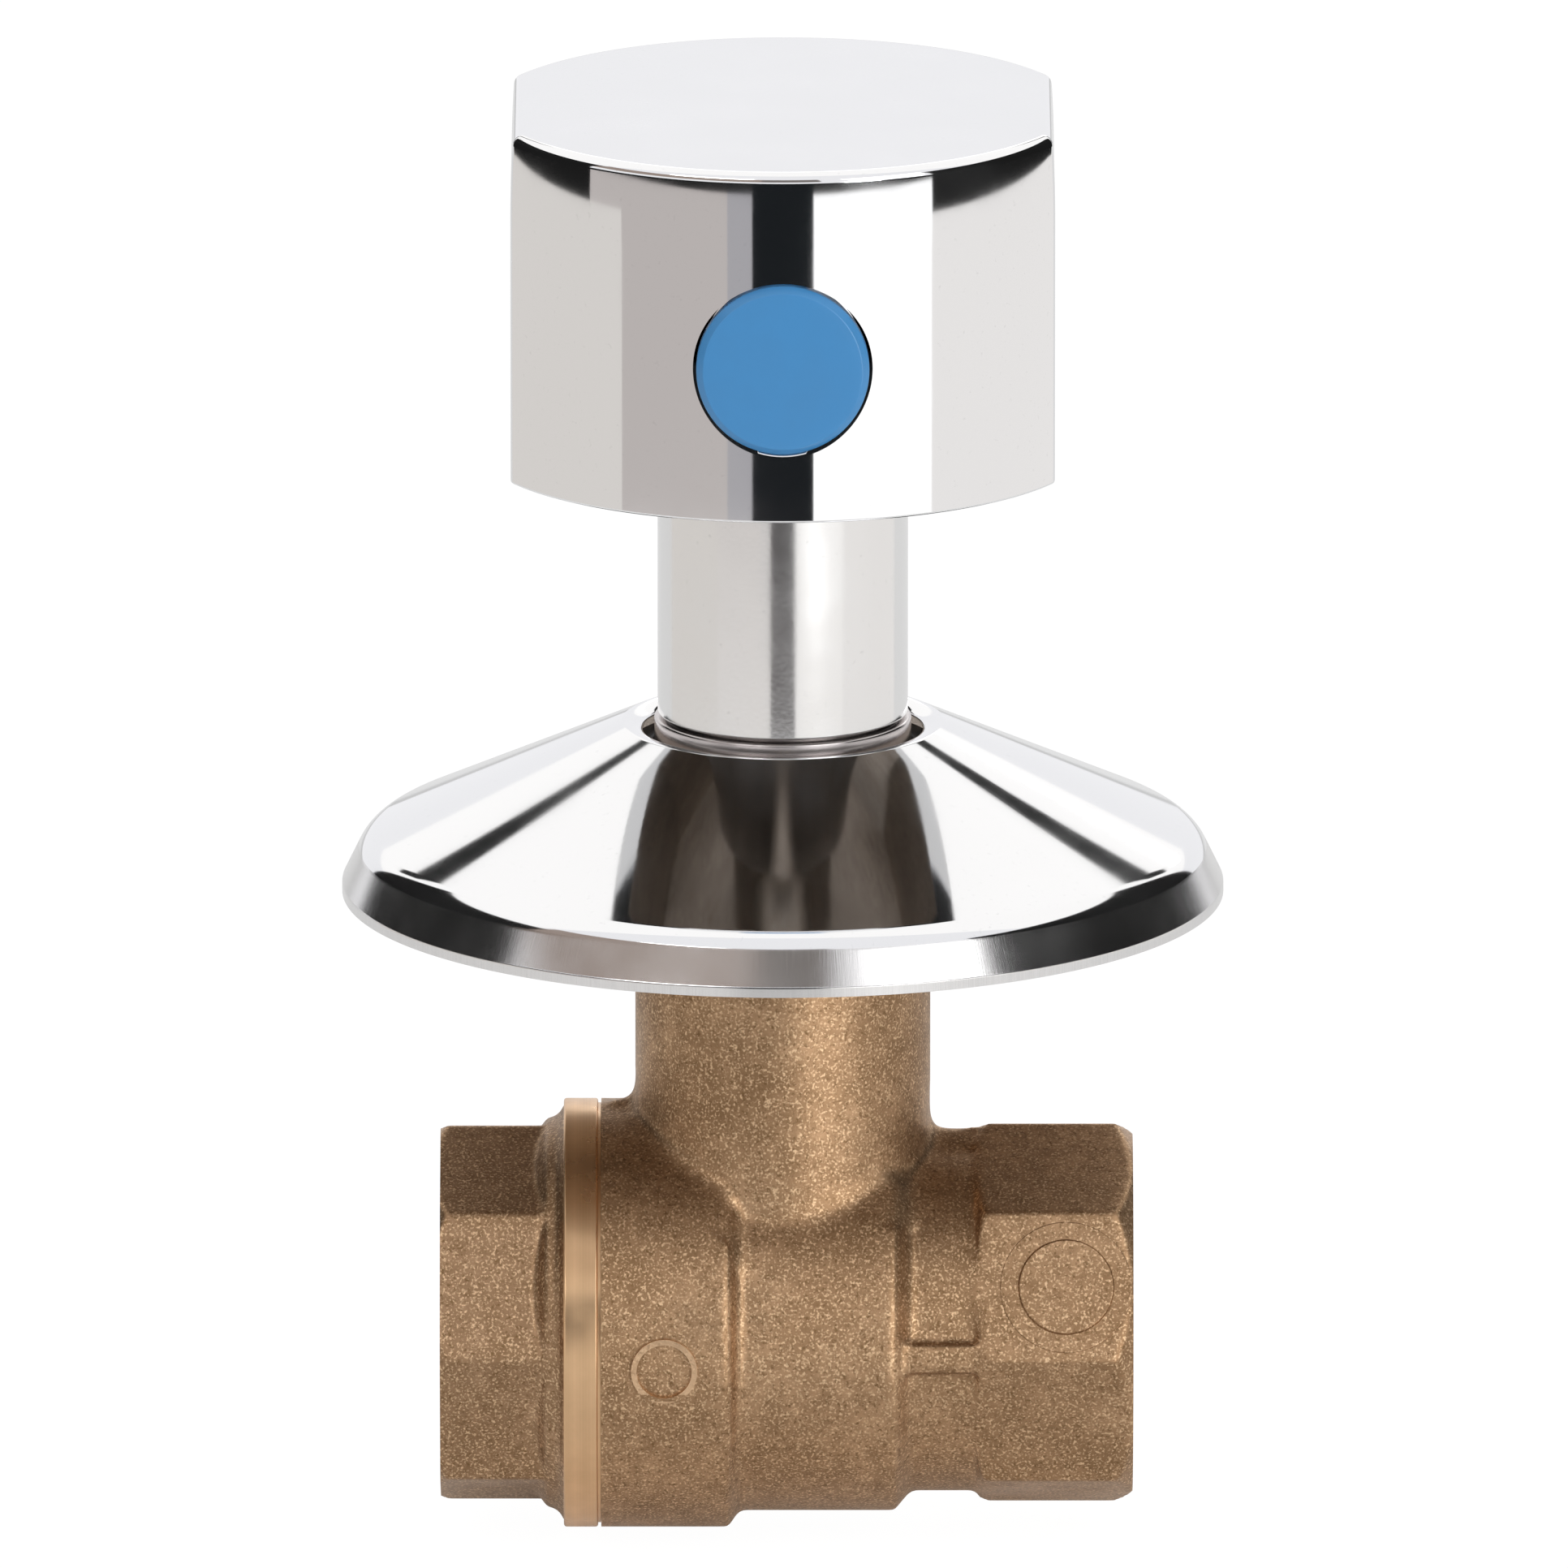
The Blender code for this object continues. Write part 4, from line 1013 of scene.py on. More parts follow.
class Finishes:
    """All the valve's materials."""

    def __init__(self) -> None:
        """Builds each material once."""
        chrome_colour = (0.865, 0.866, 0.872)
        self.forged = BlastedBrass("forged_brass", (0.50, 0.315, 0.18), 0.44).material()
        # Painted highlight: a brighter brass for the raised ring mark, standing in for the light that
        # catches its top; its lower roughness is the mark's own.
        self.painted_ring_highlight = BlastedBrass(
            "painted_highlight_brass", (0.80, 0.55, 0.34), 0.36, dark=(0.50, 0.32, 0.19)
        ).material()
        self.cap_forged = BlastedBrass("cap_brass", (0.42, 0.265, 0.155), 0.43).material()
        self.turned_x = TurnedBrass(
            "turned_brass", (0.86, 0.57, 0.33), 0.26, dark=(0.45, 0.28, 0.15)
        ).material()
        self.turned_z = TurnedBrass(
            "turned_brass_upright", (0.66, 0.46, 0.24), 0.26, along="Z"
        ).material()
        self.chrome = Chrome("knob_chrome", chrome_colour, 0.035).material()
        self.cone_chrome = Chrome(
            "rosette_chrome", chrome_colour, 0.05, film=0.05, waves=0.03 * MM, wave_scale=140.0
        ).material()
        self.sleeve_chrome = Chrome(
            "sleeve_chrome", (0.84, 0.835, 0.83), 0.10, film=0.10, wave_scale=2400.0
        ).material()
        self.ring_plate = Chrome(
            "ring_plate", (0.58, 0.54, 0.53), 0.16, film=0.10, wave_scale=2400.0
        ).material()
        self.skirt_chrome = BrushedChrome("brushed_chrome", (0.80, 0.79, 0.785), 0.13).material()
        self.raw_casting = BlastedBrass(
            "raw_casting", (0.52, 0.45, 0.39), 0.50, dark=(0.28, 0.23, 0.19), bright=(0.80, 0.72, 0.64)
        ).material()
        self.ball_chrome = Chrome("ball_chrome", (0.74, 0.75, 0.76), 0.07).material()
        self.steel = Chrome("steel", (0.45, 0.45, 0.46), 0.26, film=0.12, wave_scale=900.0).material()
        self.ptfe = Moulded("ptfe", (0.84, 0.84, 0.81), 0.38, variation=0.05).material()
        self.rubber = Moulded("rubber", (0.022, 0.022, 0.023), 0.55, texture=5000.0).material()
        self.fibre = Moulded("fibre", (0.33, 0.10, 0.07), 0.75, texture=1800.0, variation=0.3).material()
        self.white_plastic = Moulded("white_plastic", (0.78, 0.78, 0.76), 0.36).material()
        self.blue_plastic = Moulded(
            "blue_plastic", (0.042, 0.20, 0.43), 0.30, relief=0.004 * MM, variation=0.06
        ).material()


# Pieces that don't turn with the knob


@dataclass
class ValveBody:
    """The forging: bulge, middle, groove, outlet octagon and neck, machined on three sides."""

    bulge: float = 19.5 * MM
    bulge_end: float = -4.45 * MM
    step: float = 0.5 * MM
    middle: float = 18.0 * MM
    groove: float = 16.2 * MM
    groove_start: float = 10.9 * MM
    groove_slope: float = 0.75 * MM
    octagon_start: float = 17.7 * MM
    octagon_flat: float = 16.4 * MM
    start_cut: float = 0.8 * MM
    end_cut: float = 1.5 * MM
    neck: float = 13.4 * MM
    web_half_width: float = 2.8 * MM
    web_top: float = 17.4 * MM
    web_end: float = 18.2 * MM
    ridge_half_width: float = 0.55 * MM
    ridge_proud: float = 0.75 * MM
    ridge_start: float = -15.8 * MM
    rib_half_height: float = 1.35 * MM
    rib_proud: float = 1.0 * MM
    voxel: float = 0.34 * MM
    rounding: int = 5
    foot_rounding: int = 70
    foot_reach: float = 3.6 * MM
    mark_x: float = -10.75 * MM
    mark_z: float = -0.45 * MM
    mark_radius: float = 2.75 * MM
    mark_line: float = 0.25 * MM  # half the width of the ring mark
    mark_proud: float = 0.38 * MM
    pad_x: float = 25.7 * MM
    pad_radius: float = 4.25 * MM
    pad_rim: float = 6.0 * MM
    pad_proud: float = 0.42 * MM
    pad_step: float = 0.10 * MM
    pad_wall: float = 0.12 * MM  # how far the pad's wall slopes out
    pad_edge: float = 0.1 * MM
    pad_foot: float = 0.06 * MM
    cavity: float = 15.3 * MM
    port: float = 9.9 * MM
    bonnet_thread: float = 10.7 * MM
    stem_bore: float = 5.3 * MM
    neck_skin: float = 0.8 * MM  # outer part of the neck's wall, whose faces stay as forged
    cap_thread: float = 16.5 * MM
    seal_space: float = 1.7 * MM
    seal_wall: float = 1.0 * MM

    def blank(self) -> bpy.types.Object:
        """Joins the forging's round and flat-sided forms, with stock left at the machined faces.

        Returns:
            The blank, with sharp edges.
        """
        low, high = cad_box("valve_body")
        outside = [
            (0, low.x - RAW_END),
            (self.bulge, low.x - RAW_END),
            (self.bulge, self.bulge_end - self.step),
            (self.middle, self.bulge_end + self.step),
            (self.middle, self.groove_start - self.groove_slope),
            (self.groove, self.groove_start + self.groove_slope),
            (self.groove, self.octagon_start + OVERRUN),
            (0, self.octagon_start + OVERRUN),
        ]
        blank = turned("valve_body_forging", outside, Axis.PIPE, ROUND)
        combine(
            blank,
            octagon_bar(
                "outlet_octagon",
                self.octagon_flat,
                self.octagon_start,
                high.x,
                self.start_cut,
                self.end_cut,
            ),
            Join.UNION,
        )
        neck = turned("neck", rod_outline(self.neck, 0, high.z + RAW_END), steps=ROUND)
        combine(blank, neck, Join.UNION)
        web = block(
            "neck_web",
            (self.neck - OVERRUN, -self.web_half_width, self.middle / 2),
            (self.web_end, self.web_half_width, self.web_top),
        )
        # The web's top falls to both sides as the octagon's flats do.
        for side in (-1, 1):
            trim(web, (0, 0, self.web_top), (0, side * math.sin(FACET_TURN), math.cos(FACET_TURN)))
        combine(blank, web, Join.UNION)
        ridge = block(
            "parting_ridge",
            (self.ridge_start, -self.ridge_half_width, self.bulge - OVERRUN),
            (OVERRUN - self.neck, self.ridge_half_width, self.bulge + self.ridge_proud),
        )
        combine(blank, ridge, Join.UNION)
        rib = block(
            "groove_rib",
            (self.groove_start, -self.groove - self.rib_proud, -self.rib_half_height),
            (self.octagon_start + OVERRUN, OVERRUN - self.middle, self.rib_half_height),
        )
        combine(blank, rib, Join.UNION)
        return blank

    def soften_foot(self, body: bpy.types.Object) -> None:
        """Rounds the inner corner where the neck stands on the pipe.

        Args:
            body: The forging.
        """
        group = body.vertex_groups.new(name="foot")
        with editing(body):
            pick(body, Item.VERTEX, self.near_foot)
            bpy.ops.object.vertex_group_assign()
        apply(body, "SMOOTH", factor=0.5, iterations=self.foot_rounding, vertex_group=group.name)
        body.vertex_groups.clear()

    def near_foot(self, vertex: bmesh.types.BMVert) -> bool:
        """Whether a vertex lies near the line where neck and pipe meet.

        Args:
            vertex: The vertex.

        Returns:
            True near that line, above the pipe's middle.
        """
        pipe = self.bulge if vertex.co.x < self.bulge_end else self.middle
        near_neck = abs(from_stem(vertex.co) - self.neck) < self.foot_reach
        near_pipe = abs(from_pipe(vertex.co) - pipe) < self.foot_reach
        return vertex.co.z >= 0 and near_neck and near_pipe

    def pipe_cutter(self) -> bpy.types.Object:
        """Bores the forging along the pipe: cap thread, ball space, seat pocket, port and socket.

        Returns:
            The cutter.
        """
        low, high = cad_box("valve_body")
        seat_low, seat_high = cad_box("seat_outlet")
        seal_end = low.x + self.seal_space
        spigot_end = cad_box("end_cap")[1].x + CLEARANCE
        pocket = seat_high.y + CLEARANCE
        outline = [
            (0, low.x - OVERRUN),
            (self.cap_thread + self.seal_wall, low.x - OVERRUN),
            (self.cap_thread + self.seal_wall, seal_end),
            (self.cap_thread, seal_end),
            (self.cap_thread, spigot_end),
            (self.cavity, spigot_end),
            (self.cavity, seat_low.x - CLEARANCE),
            (pocket, seat_low.x - CLEARANCE),
            (pocket, seat_high.x + CLEARANCE),
            (self.port, seat_high.x + CLEARANCE),
            (self.port, high.x - THREAD.socket_depth),
            *THREAD.socket(high.x, 1),
        ]
        return turned("pipe_cutter", outline, Axis.PIPE, HIDDEN_ROUND)

    def neck_cutter(self) -> bpy.types.Object:
        """Bores the neck: bonnet thread, gland, packing, stem bore and flange room.

        Returns:
            The cutter.
        """
        high = cad_box("valve_body")[1]
        mouth = cad_box("bonnet_seal")[1].x
        packing_low, packing_high = cad_box("stem_packing")
        gland_top = cad_box("gland_nut")[1].z + CLEARANCE
        packing_end = packing_low.z - CLEARANCE
        flange_top = cad_box("thrust_washer")[1].z + CLEARANCE
        bonnet = self.bonnet_thread + CLEARANCE
        gland = cad_box("gland_nut")[1].x + CLEARANCE
        packing = packing_high.x + CLEARANCE
        flange = cad_box("stem")[1].x + CLEARANCE
        outline = [
            (0, high.z + OVERRUN),
            (mouth, high.z + OVERRUN),
            (bonnet, high.z - CLEARANCE),
            (bonnet, gland_top),
            (gland, gland_top),
            (gland, packing_high.z),
            (packing, packing_high.z),
            (packing, packing_end),
            (self.stem_bore, packing_end),
            (self.stem_bore, flange_top),
            (flange, flange_top),
            (flange, self.cavity / 2),
            (0, self.cavity / 2),
        ]
        return turned("neck_cutter", outline, Axis.STEM, HIDDEN_ROUND)

    def add_marks(self, body: bpy.types.Object) -> None:
        """Adds the ring mark on the bulge and the round pad on the octagon's upper front flat.

        Args:
            body: The forging.
        """
        ring = turned(
            "ring_mark",
            ring_outline(
                self.mark_radius - self.mark_line,
                self.mark_radius + self.mark_line,
                self.bulge - OVERRUN,
                self.bulge + OVERRUN,
            ),
            Axis.FRONT,
            HIDDEN_ROUND,
            centre=(self.mark_x, 0, self.mark_z),
        )
        skin = rod_outline(self.bulge + self.mark_proud, -self.bulge, 0)
        combine(ring, turned("mark_skin", skin, Axis.PIPE, ROUND), Join.COMMON)
        combine(body, ring, Join.UNION)
        flat = self.octagon_flat
        pad = rounded(
            [
                (0, flat - OVERRUN, 0),
                (self.pad_rim, flat - OVERRUN, 0),
                (self.pad_rim, flat + self.pad_step, self.pad_edge),
                (self.pad_radius + self.pad_wall, flat + self.pad_step, self.pad_foot),
                (self.pad_radius, flat + self.pad_proud, self.pad_edge),
                (0, flat + self.pad_proud, 0),
            ],
            steps=3,
            closed=False,
        )
        round_pad = turned("round_pad", pad, Axis.PAD, HIDDEN_ROUND, centre=(self.pad_x, 0, 0))
        combine(body, round_pad, Join.UNION)

    def machined(self, face: bmesh.types.BMFace) -> bool:
        """Whether a face was machined: an end face, or inside a bore.

        Args:
            face: The face.

        Returns:
            True on machined faces.
        """
        low, high = cad_box("valve_body")
        centre = face.calc_center_median()
        off_pipe = from_pipe(centre)
        on_pipe_end = centre.x < low.x + ON_FACE or centre.x > high.x - ON_FACE
        on_neck_end = centre.z > high.z - ON_FACE
        cap_room = self.cap_thread + self.seal_wall + MARGIN
        in_cap_thread = centre.x < self.bulge_end and off_pipe < cap_room
        in_pipe = off_pipe < self.cavity + MARGIN
        in_neck = from_stem(centre) < self.neck - self.neck_skin and centre.z > self.cavity / 2
        return on_pipe_end or on_neck_end or in_cap_thread or in_pipe or in_neck

    def painted_ring_highlight(self, face: bmesh.types.BMFace) -> bool:
        """Whether a face lies on the ring mark, which gets a brighter brass as a painted highlight.

        Args:
            face: The face.

        Returns:
            True on the ring mark.
        """
        centre = face.calc_center_median()
        from_mark = math.hypot(centre.x - self.mark_x, centre.z - self.mark_z)
        on_ring = abs(from_mark - self.mark_radius) < self.mark_line + SKIN
        return centre.y < 0 and on_ring and from_pipe(centre) > self.bulge + SKIN

    def build(self, finishes: Finishes) -> list[bpy.types.Object]:
        """Builds the valve body.

        Args:
            finishes: The valve's materials.

        Returns:
            The finished piece, in a list.
        """
        low, high = cad_box("valve_body")
        body = self.blank()
        forged(body, self.voxel, self.rounding)
        self.soften_foot(body)
        trim(body, (low.x, 0, 0), (-1, 0, 0))
        trim(body, (high.x, 0, 0), (1, 0, 0))
        trim(body, (0, 0, high.z), (0, 0, 1))
        self.add_marks(body)
        combine(body, self.neck_cutter(), Join.CUT)
        combine(body, self.pipe_cutter(), Join.CUT)
        combine(body, THREAD.cutter("outlet_thread", high.x, 1), Join.CUT)
        dress(body, finishes.forged, finishes.turned_x, finishes.painted_ring_highlight)
        paint(body, 1, self.machined)
        # The ring mark's faces get the brighter brass, a painted highlight.
        paint(body, 2, self.painted_ring_highlight)
        smooth(body)
        return [publish(body, Body.PIPE, "valve_body")]


@dataclass
class EndCap:
    """The screwed inlet end: a forged octagon, a bright turned collar and a threaded spigot."""

    flat: float = 16.25 * MM
    corner_cut: float = 0.6 * MM
    collar: float = 19.5 * MM
    collar_start: float = -16.8 * MM
    collar_end: float = -19.9 * MM
    collar_edge: float = 0.25 * MM
    land: float = 19.1 * MM
    land_end: float = -16.53 * MM
    fillet: float = 1.5 * MM
    foot: float = 17.7 * MM
    tuck: float = 0.5 * MM  # how far the forging ends inside the turned collar
    spigot: float = 16.2 * MM
    spigot_edge: float = 0.3 * MM
    port: float = 9.9 * MM
    octagon_skin: float = 1.5 * MM  # outer part of the octagon's wall, whose faces stay as forged
    voxel: float = 0.28 * MM
    rounding: int = 5

    def forging(self) -> bpy.types.Object:
        """The octagon and the fillet up to the collar, softened as forged.

        Returns:
            The forging, trimmed at the pipe end.
        """
        low = cad_box("end_cap")[0]
        start = self.collar_start - 2 * self.tuck
        root = self.collar_end - 2 * self.fillet
        centre_x, centre_r = self.collar_end - self.fillet, self.foot + self.fillet
        turns = [math.radians(angle) for angle in range(80, -1, -10)]
        sweep = [
            (centre_r - self.fillet * math.cos(turn), centre_x + self.fillet * math.sin(turn))
            for turn in turns
        ]
        outside = [
            (0, start),
            (self.collar - self.tuck, start),
            (self.collar - self.tuck, self.collar_end + self.tuck),
            *sweep,
            (self.flat - self.tuck, root),
            (0, root),
        ]
        piece = turned("end_cap_forging", outside, Axis.PIPE, ROUND)
        octagon = octagon_bar(
            "inlet_octagon",
            self.flat,
            self.collar_end + self.tuck,
            low.x,
            self.corner_cut,
            self.corner_cut,
        )
        combine(piece, octagon, Join.UNION)
        forged(piece, self.voxel, self.rounding)
        trim(piece, (low.x, 0, 0), (-1, 0, 0))
        return piece

    def build(self, finishes: Finishes) -> list[bpy.types.Object]:
        """Builds the end cap.

        Args:
            finishes: The valve's materials.

        Returns:
            The finished piece, in a list.
        """
        low, high = cad_box("end_cap")
        cap = self.forging()
        collar = rounded(
            [
                (0, high.x, 0),
                (self.spigot, high.x, self.spigot_edge),
                (self.spigot, self.land_end, 0),
                (self.land, self.land_end, 0),
                (self.land, self.collar_start, 0),
                (self.collar, self.collar_start, self.collar_edge),
                (self.collar, self.collar_end, self.collar_edge),
                (self.foot, self.collar_end, 0),
                (0, self.collar_end, 0),
            ],
            steps=3,
            closed=False,
        )
        combine(cap, turned("collar", collar, Axis.PIPE, FINE_ROUND), Join.UNION)
        seat_low, seat_high = cad_box("seat_inlet")
        pocket = seat_high.y + CLEARANCE
        bore = [
            (0, high.x + OVERRUN),
            (pocket, high.x + OVERRUN),
            (pocket, seat_low.x - CLEARANCE),
            (self.port, seat_low.x - CLEARANCE),
            (self.port, low.x + THREAD.socket_depth),
            *THREAD.socket(low.x, -1),
        ]
        combine(cap, turned("inlet_cutter", bore, Axis.PIPE, HIDDEN_ROUND), Join.CUT)
        combine(cap, THREAD.cutter("inlet_thread", low.x, -1), Join.CUT)
        dress(cap, finishes.cap_forged, finishes.turned_x)
        paint(cap, 1, self.machined)
        smooth(cap)
        return [publish(cap, Body.PIPE, "end_cap")]

    def machined(self, face: bmesh.types.BMFace) -> bool:
        """Whether a face was machined: the collar, the spigot, the bore or the end face.

        Args:
            face: The face.

        Returns:
            True on machined faces.
        """
        centre = face.calc_center_median()
        on_end = centre.x < cad_box("end_cap")[0].x + ON_FACE
        on_collar = centre.x > self.collar_end - SKIN
        return on_end or on_collar or from_pipe(centre) < self.flat - self.octagon_skin


@dataclass
class Bonnet:
    """The threaded insert in the neck: hexagon, plated ring and the tube inside the sleeve."""

    ring: float = 11.65 * MM
    ring_edge: float = 0.25 * MM
    tube: float = 10.1 * MM
    tube_edge: float = 0.3 * MM
    thread: float = 10.7 * MM
    thread_edge: float = 0.4 * MM
    flange: float = 3.0 * MM
    hexagon_flat: float = 13.3 * MM
    hexagon_edge: float = 0.35 * MM
    bore: float = 7.95 * MM
    lug: float = 1.7 * MM  # half the width of the travel stop's lug
    lug_reach: float = 7.3 * MM
    lug_play: float = 2.5  # degrees past the quarter turn, at each end

    def build(self, finishes: Finishes) -> list[bpy.types.Object]:
        """Builds the bonnet.

        Args:
            finishes: The valve's materials.

        Returns:
            The finished piece, in a list.
        """
        low, high = cad_box("bonnet")
        seal_top = cad_box("bonnet_seal")[1].z + CLEARANCE
        flange_top = seal_top + self.flange
        flange_middle = seal_top + self.flange / 2
        ring_top = cad_box("sleeve")[0].z - CLEARANCE
        outline = rounded(
            [
                (self.tube, high.z, self.tube_edge),
                (self.tube, ring_top, 0),
                (self.ring, ring_top, self.ring_edge),
                (self.ring, flange_middle, 0),
                (self.thread, flange_middle, 0),
                (self.thread, low.z, self.thread_edge),
                (self.bore, low.z, 0),
                (self.bore, high.z, self.tube_edge),
            ],
            steps=3,
        )
        bonnet = turned("bonnet_insert", outline, steps=FINE_ROUND)
        combine(bonnet, self.hexagon(seal_top), Join.UNION)
        stop = cad_box("stop_ring")[1]
        notch = self.notch(low.z - OVERRUN, stop.z + CLEARANCE, stop.y + CLEARANCE)
        combine(bonnet, notch, Join.CUT)
        dress(bonnet, finishes.turned_z, finishes.ring_plate)
        paint(bonnet, 1, lambda face: face.calc_center_median().z > flange_top + MARGIN / 2)
        smooth(bonnet)
        return [publish(bonnet, Body.PIPE, "bonnet")]

    def hexagon(self, bottom: float) -> bpy.types.Object:
        """The bonnet's hexagon flange, bored so that it joins the insert inside its wall.

        Args:
            bottom: Its lower end, along Z.

        Returns:
            The hexagon.
        """
        low, high = cad_box("bonnet")
        hexagon = primitive(
            "bonnet_hexagon",
            bpy.ops.mesh.primitive_cylinder_add,
            vertices=6,
            radius=self.hexagon_flat / math.cos(math.pi / 6),
            depth=self.flange,
            location=(0, 0, bottom + self.flange / 2),
            rotation=(0, 0, math.pi / 6),
        )
        with editing(hexagon):
            pick_all()
            bpy.ops.mesh.bevel(offset=self.hexagon_edge, segments=2, affect="EDGES")
        middle = rod_outline((self.bore + self.thread) / 2, low.z, high.z)
        combine(hexagon, turned("hexagon_bore", middle, steps=HIDDEN_ROUND), Join.CUT)
        return hexagon

    def notch(self, low: float, high: float, reach: float) -> bpy.types.Object:
        """The sector that is cut out below for the travel stop's lug.

        Args:
            low: Its lower end, along Z.
            high: Its upper end.
            reach: Its radius.

        Returns:
            The cutter.
        """
        spread = math.asin(self.lug / self.lug_reach) + math.radians(self.lug_play)
        start, end = math.pi / 2 + spread, -spread
        cutter = turned("notch_cutter", rod_outline(reach, low, high), steps=HIDDEN_ROUND)
        with editing(cutter):
            for turn in (start, end):
                across = (-math.sin(turn), math.cos(turn), 0)
                pick_all()
                bpy.ops.mesh.bisect(plane_co=(0, 0, 0), plane_no=across, use_fill=False, threshold=TINY)
            pick(cutter, Item.FACE, lambda face: not self.in_sector(face, start, end))
            bpy.ops.mesh.delete(type="FACE")
            pick_all()
            bpy.ops.mesh.remove_doubles(threshold=TINY)
            bpy.ops.mesh.select_all(action="DESELECT")
            bpy.ops.mesh.select_mode(type="EDGE")
            bpy.ops.mesh.select_non_manifold(extend=False)
            bpy.ops.mesh.edge_face_add()
            face_outwards()
        return cutter

    @staticmethod
    def in_sector(face: bmesh.types.BMFace, start: float, end: float) -> bool:
        """Whether a face lies between two turns about the stem.

        Args:
            face: The face.
            start: The greater turn, in radians.
            end: The smaller turn.

        Returns:
            True between the two.
        """
        centre = face.calc_center_median()
        turn = math.atan2(centre.y, centre.x)
        return end < turn < start


@dataclass
class Sleeve:
    """The chromed tube between the rosette and the knob."""

    edge: float = 0.25 * MM
    wall: float = 0.95 * MM

    def build(self, finishes: Finishes) -> list[bpy.types.Object]:
        """Builds the sleeve from the CAD tube's own size.

        Args:
            finishes: The valve's materials.

        Returns:
            The finished piece, in a list.
        """
        low, high = cad_box("sleeve")
        outline = ring_outline(high.x - self.wall, high.x, low.z, high.z, self.edge)
        sleeve = turned("sleeve_tube", outline, steps=FINE_ROUND)
        dress(sleeve, finishes.sleeve_chrome)
        smooth(sleeve)
        return [publish(sleeve, Body.PIPE, "sleeve")]


@dataclass
class Rosette:
    """The pressed sheet cone against the wall, with a rolled lip and a short rim."""

    crest: float = 14.5 * MM
    crest_round: float = 1.2 * MM
    hole: float = 12.7 * MM
    lip_drop: float = 0.8 * MM
    shoulder: float = 38.0 * MM
    shoulder_height: float = 5.0 * MM
    shoulder_round: float = 3.6 * MM
    rim_band: float = 0.9 * MM
    rim_round: float = 0.5 * MM
    sheet: float = 1.0 * MM
    lip_steps: int = 8
    skirt_drop: float = 0.9 * MM  # from the shoulder's height to the brushed skirt
    skirt_lean: float = -0.1  # the skirt's faces look down no more than this
    under_lean: float = -0.2  # the underside's faces look down more than this

    def section(self) -> Outline:
        """The sheet's outer line: up the rolled lip, down the cone and over the rim.

        Returns:
            The line's points.
        """
        low, high = cad_box("rosette")
        outline = []
        for step in range(self.lip_steps):
            turn = math.pi / 2 * step / self.lip_steps
            reach = (self.crest - self.hole) * math.cos(turn)
            outline.append((self.crest - reach, high.z - self.lip_drop * (1 - math.sin(turn))))
        outline += rounded(
            [
                (outline[-1][0], outline[-1][1], 0),
                (self.crest, high.z, self.crest_round),
                (self.shoulder, low.z + self.shoulder_height, self.shoulder_round),
                (high.x, low.z + self.rim_band, self.rim_round),
                (high.x, low.z, 0),
            ],
            steps=10,
            closed=False,
        )[1:]
        return outline

    def build(self, finishes: Finishes) -> list[bpy.types.Object]:
        """Builds the rosette as a turned sheet that gets its thickness inwards.

        Args:
            finishes: The valve's materials.

        Returns:
            The finished piece, in a list.
        """
        low = cad_box("rosette")[0]
        rosette = turned("rosette_cone", self.section(), steps=FINE_ROUND, closed=False)
        with editing(rosette):
            face_outwards()
        apply(rosette, "SOLIDIFY", thickness=self.sheet, offset=-1, use_even_offset=True)
        skirt_top = low.z + self.shoulder_height - self.skirt_drop
        dress(rosette, finishes.cone_chrome, finishes.skirt_chrome, finishes.raw_casting)
        paint(
            rosette,
            1,
            lambda face: face.calc_center_median().z < skirt_top and face.normal.z > self.skirt_lean,
        )
        paint(rosette, 2, lambda face: face.normal.z < self.under_lean)
        smooth(rosette)
        return [publish(rosette, Body.ROSETTE, "rosette")]


# Pieces of the handle


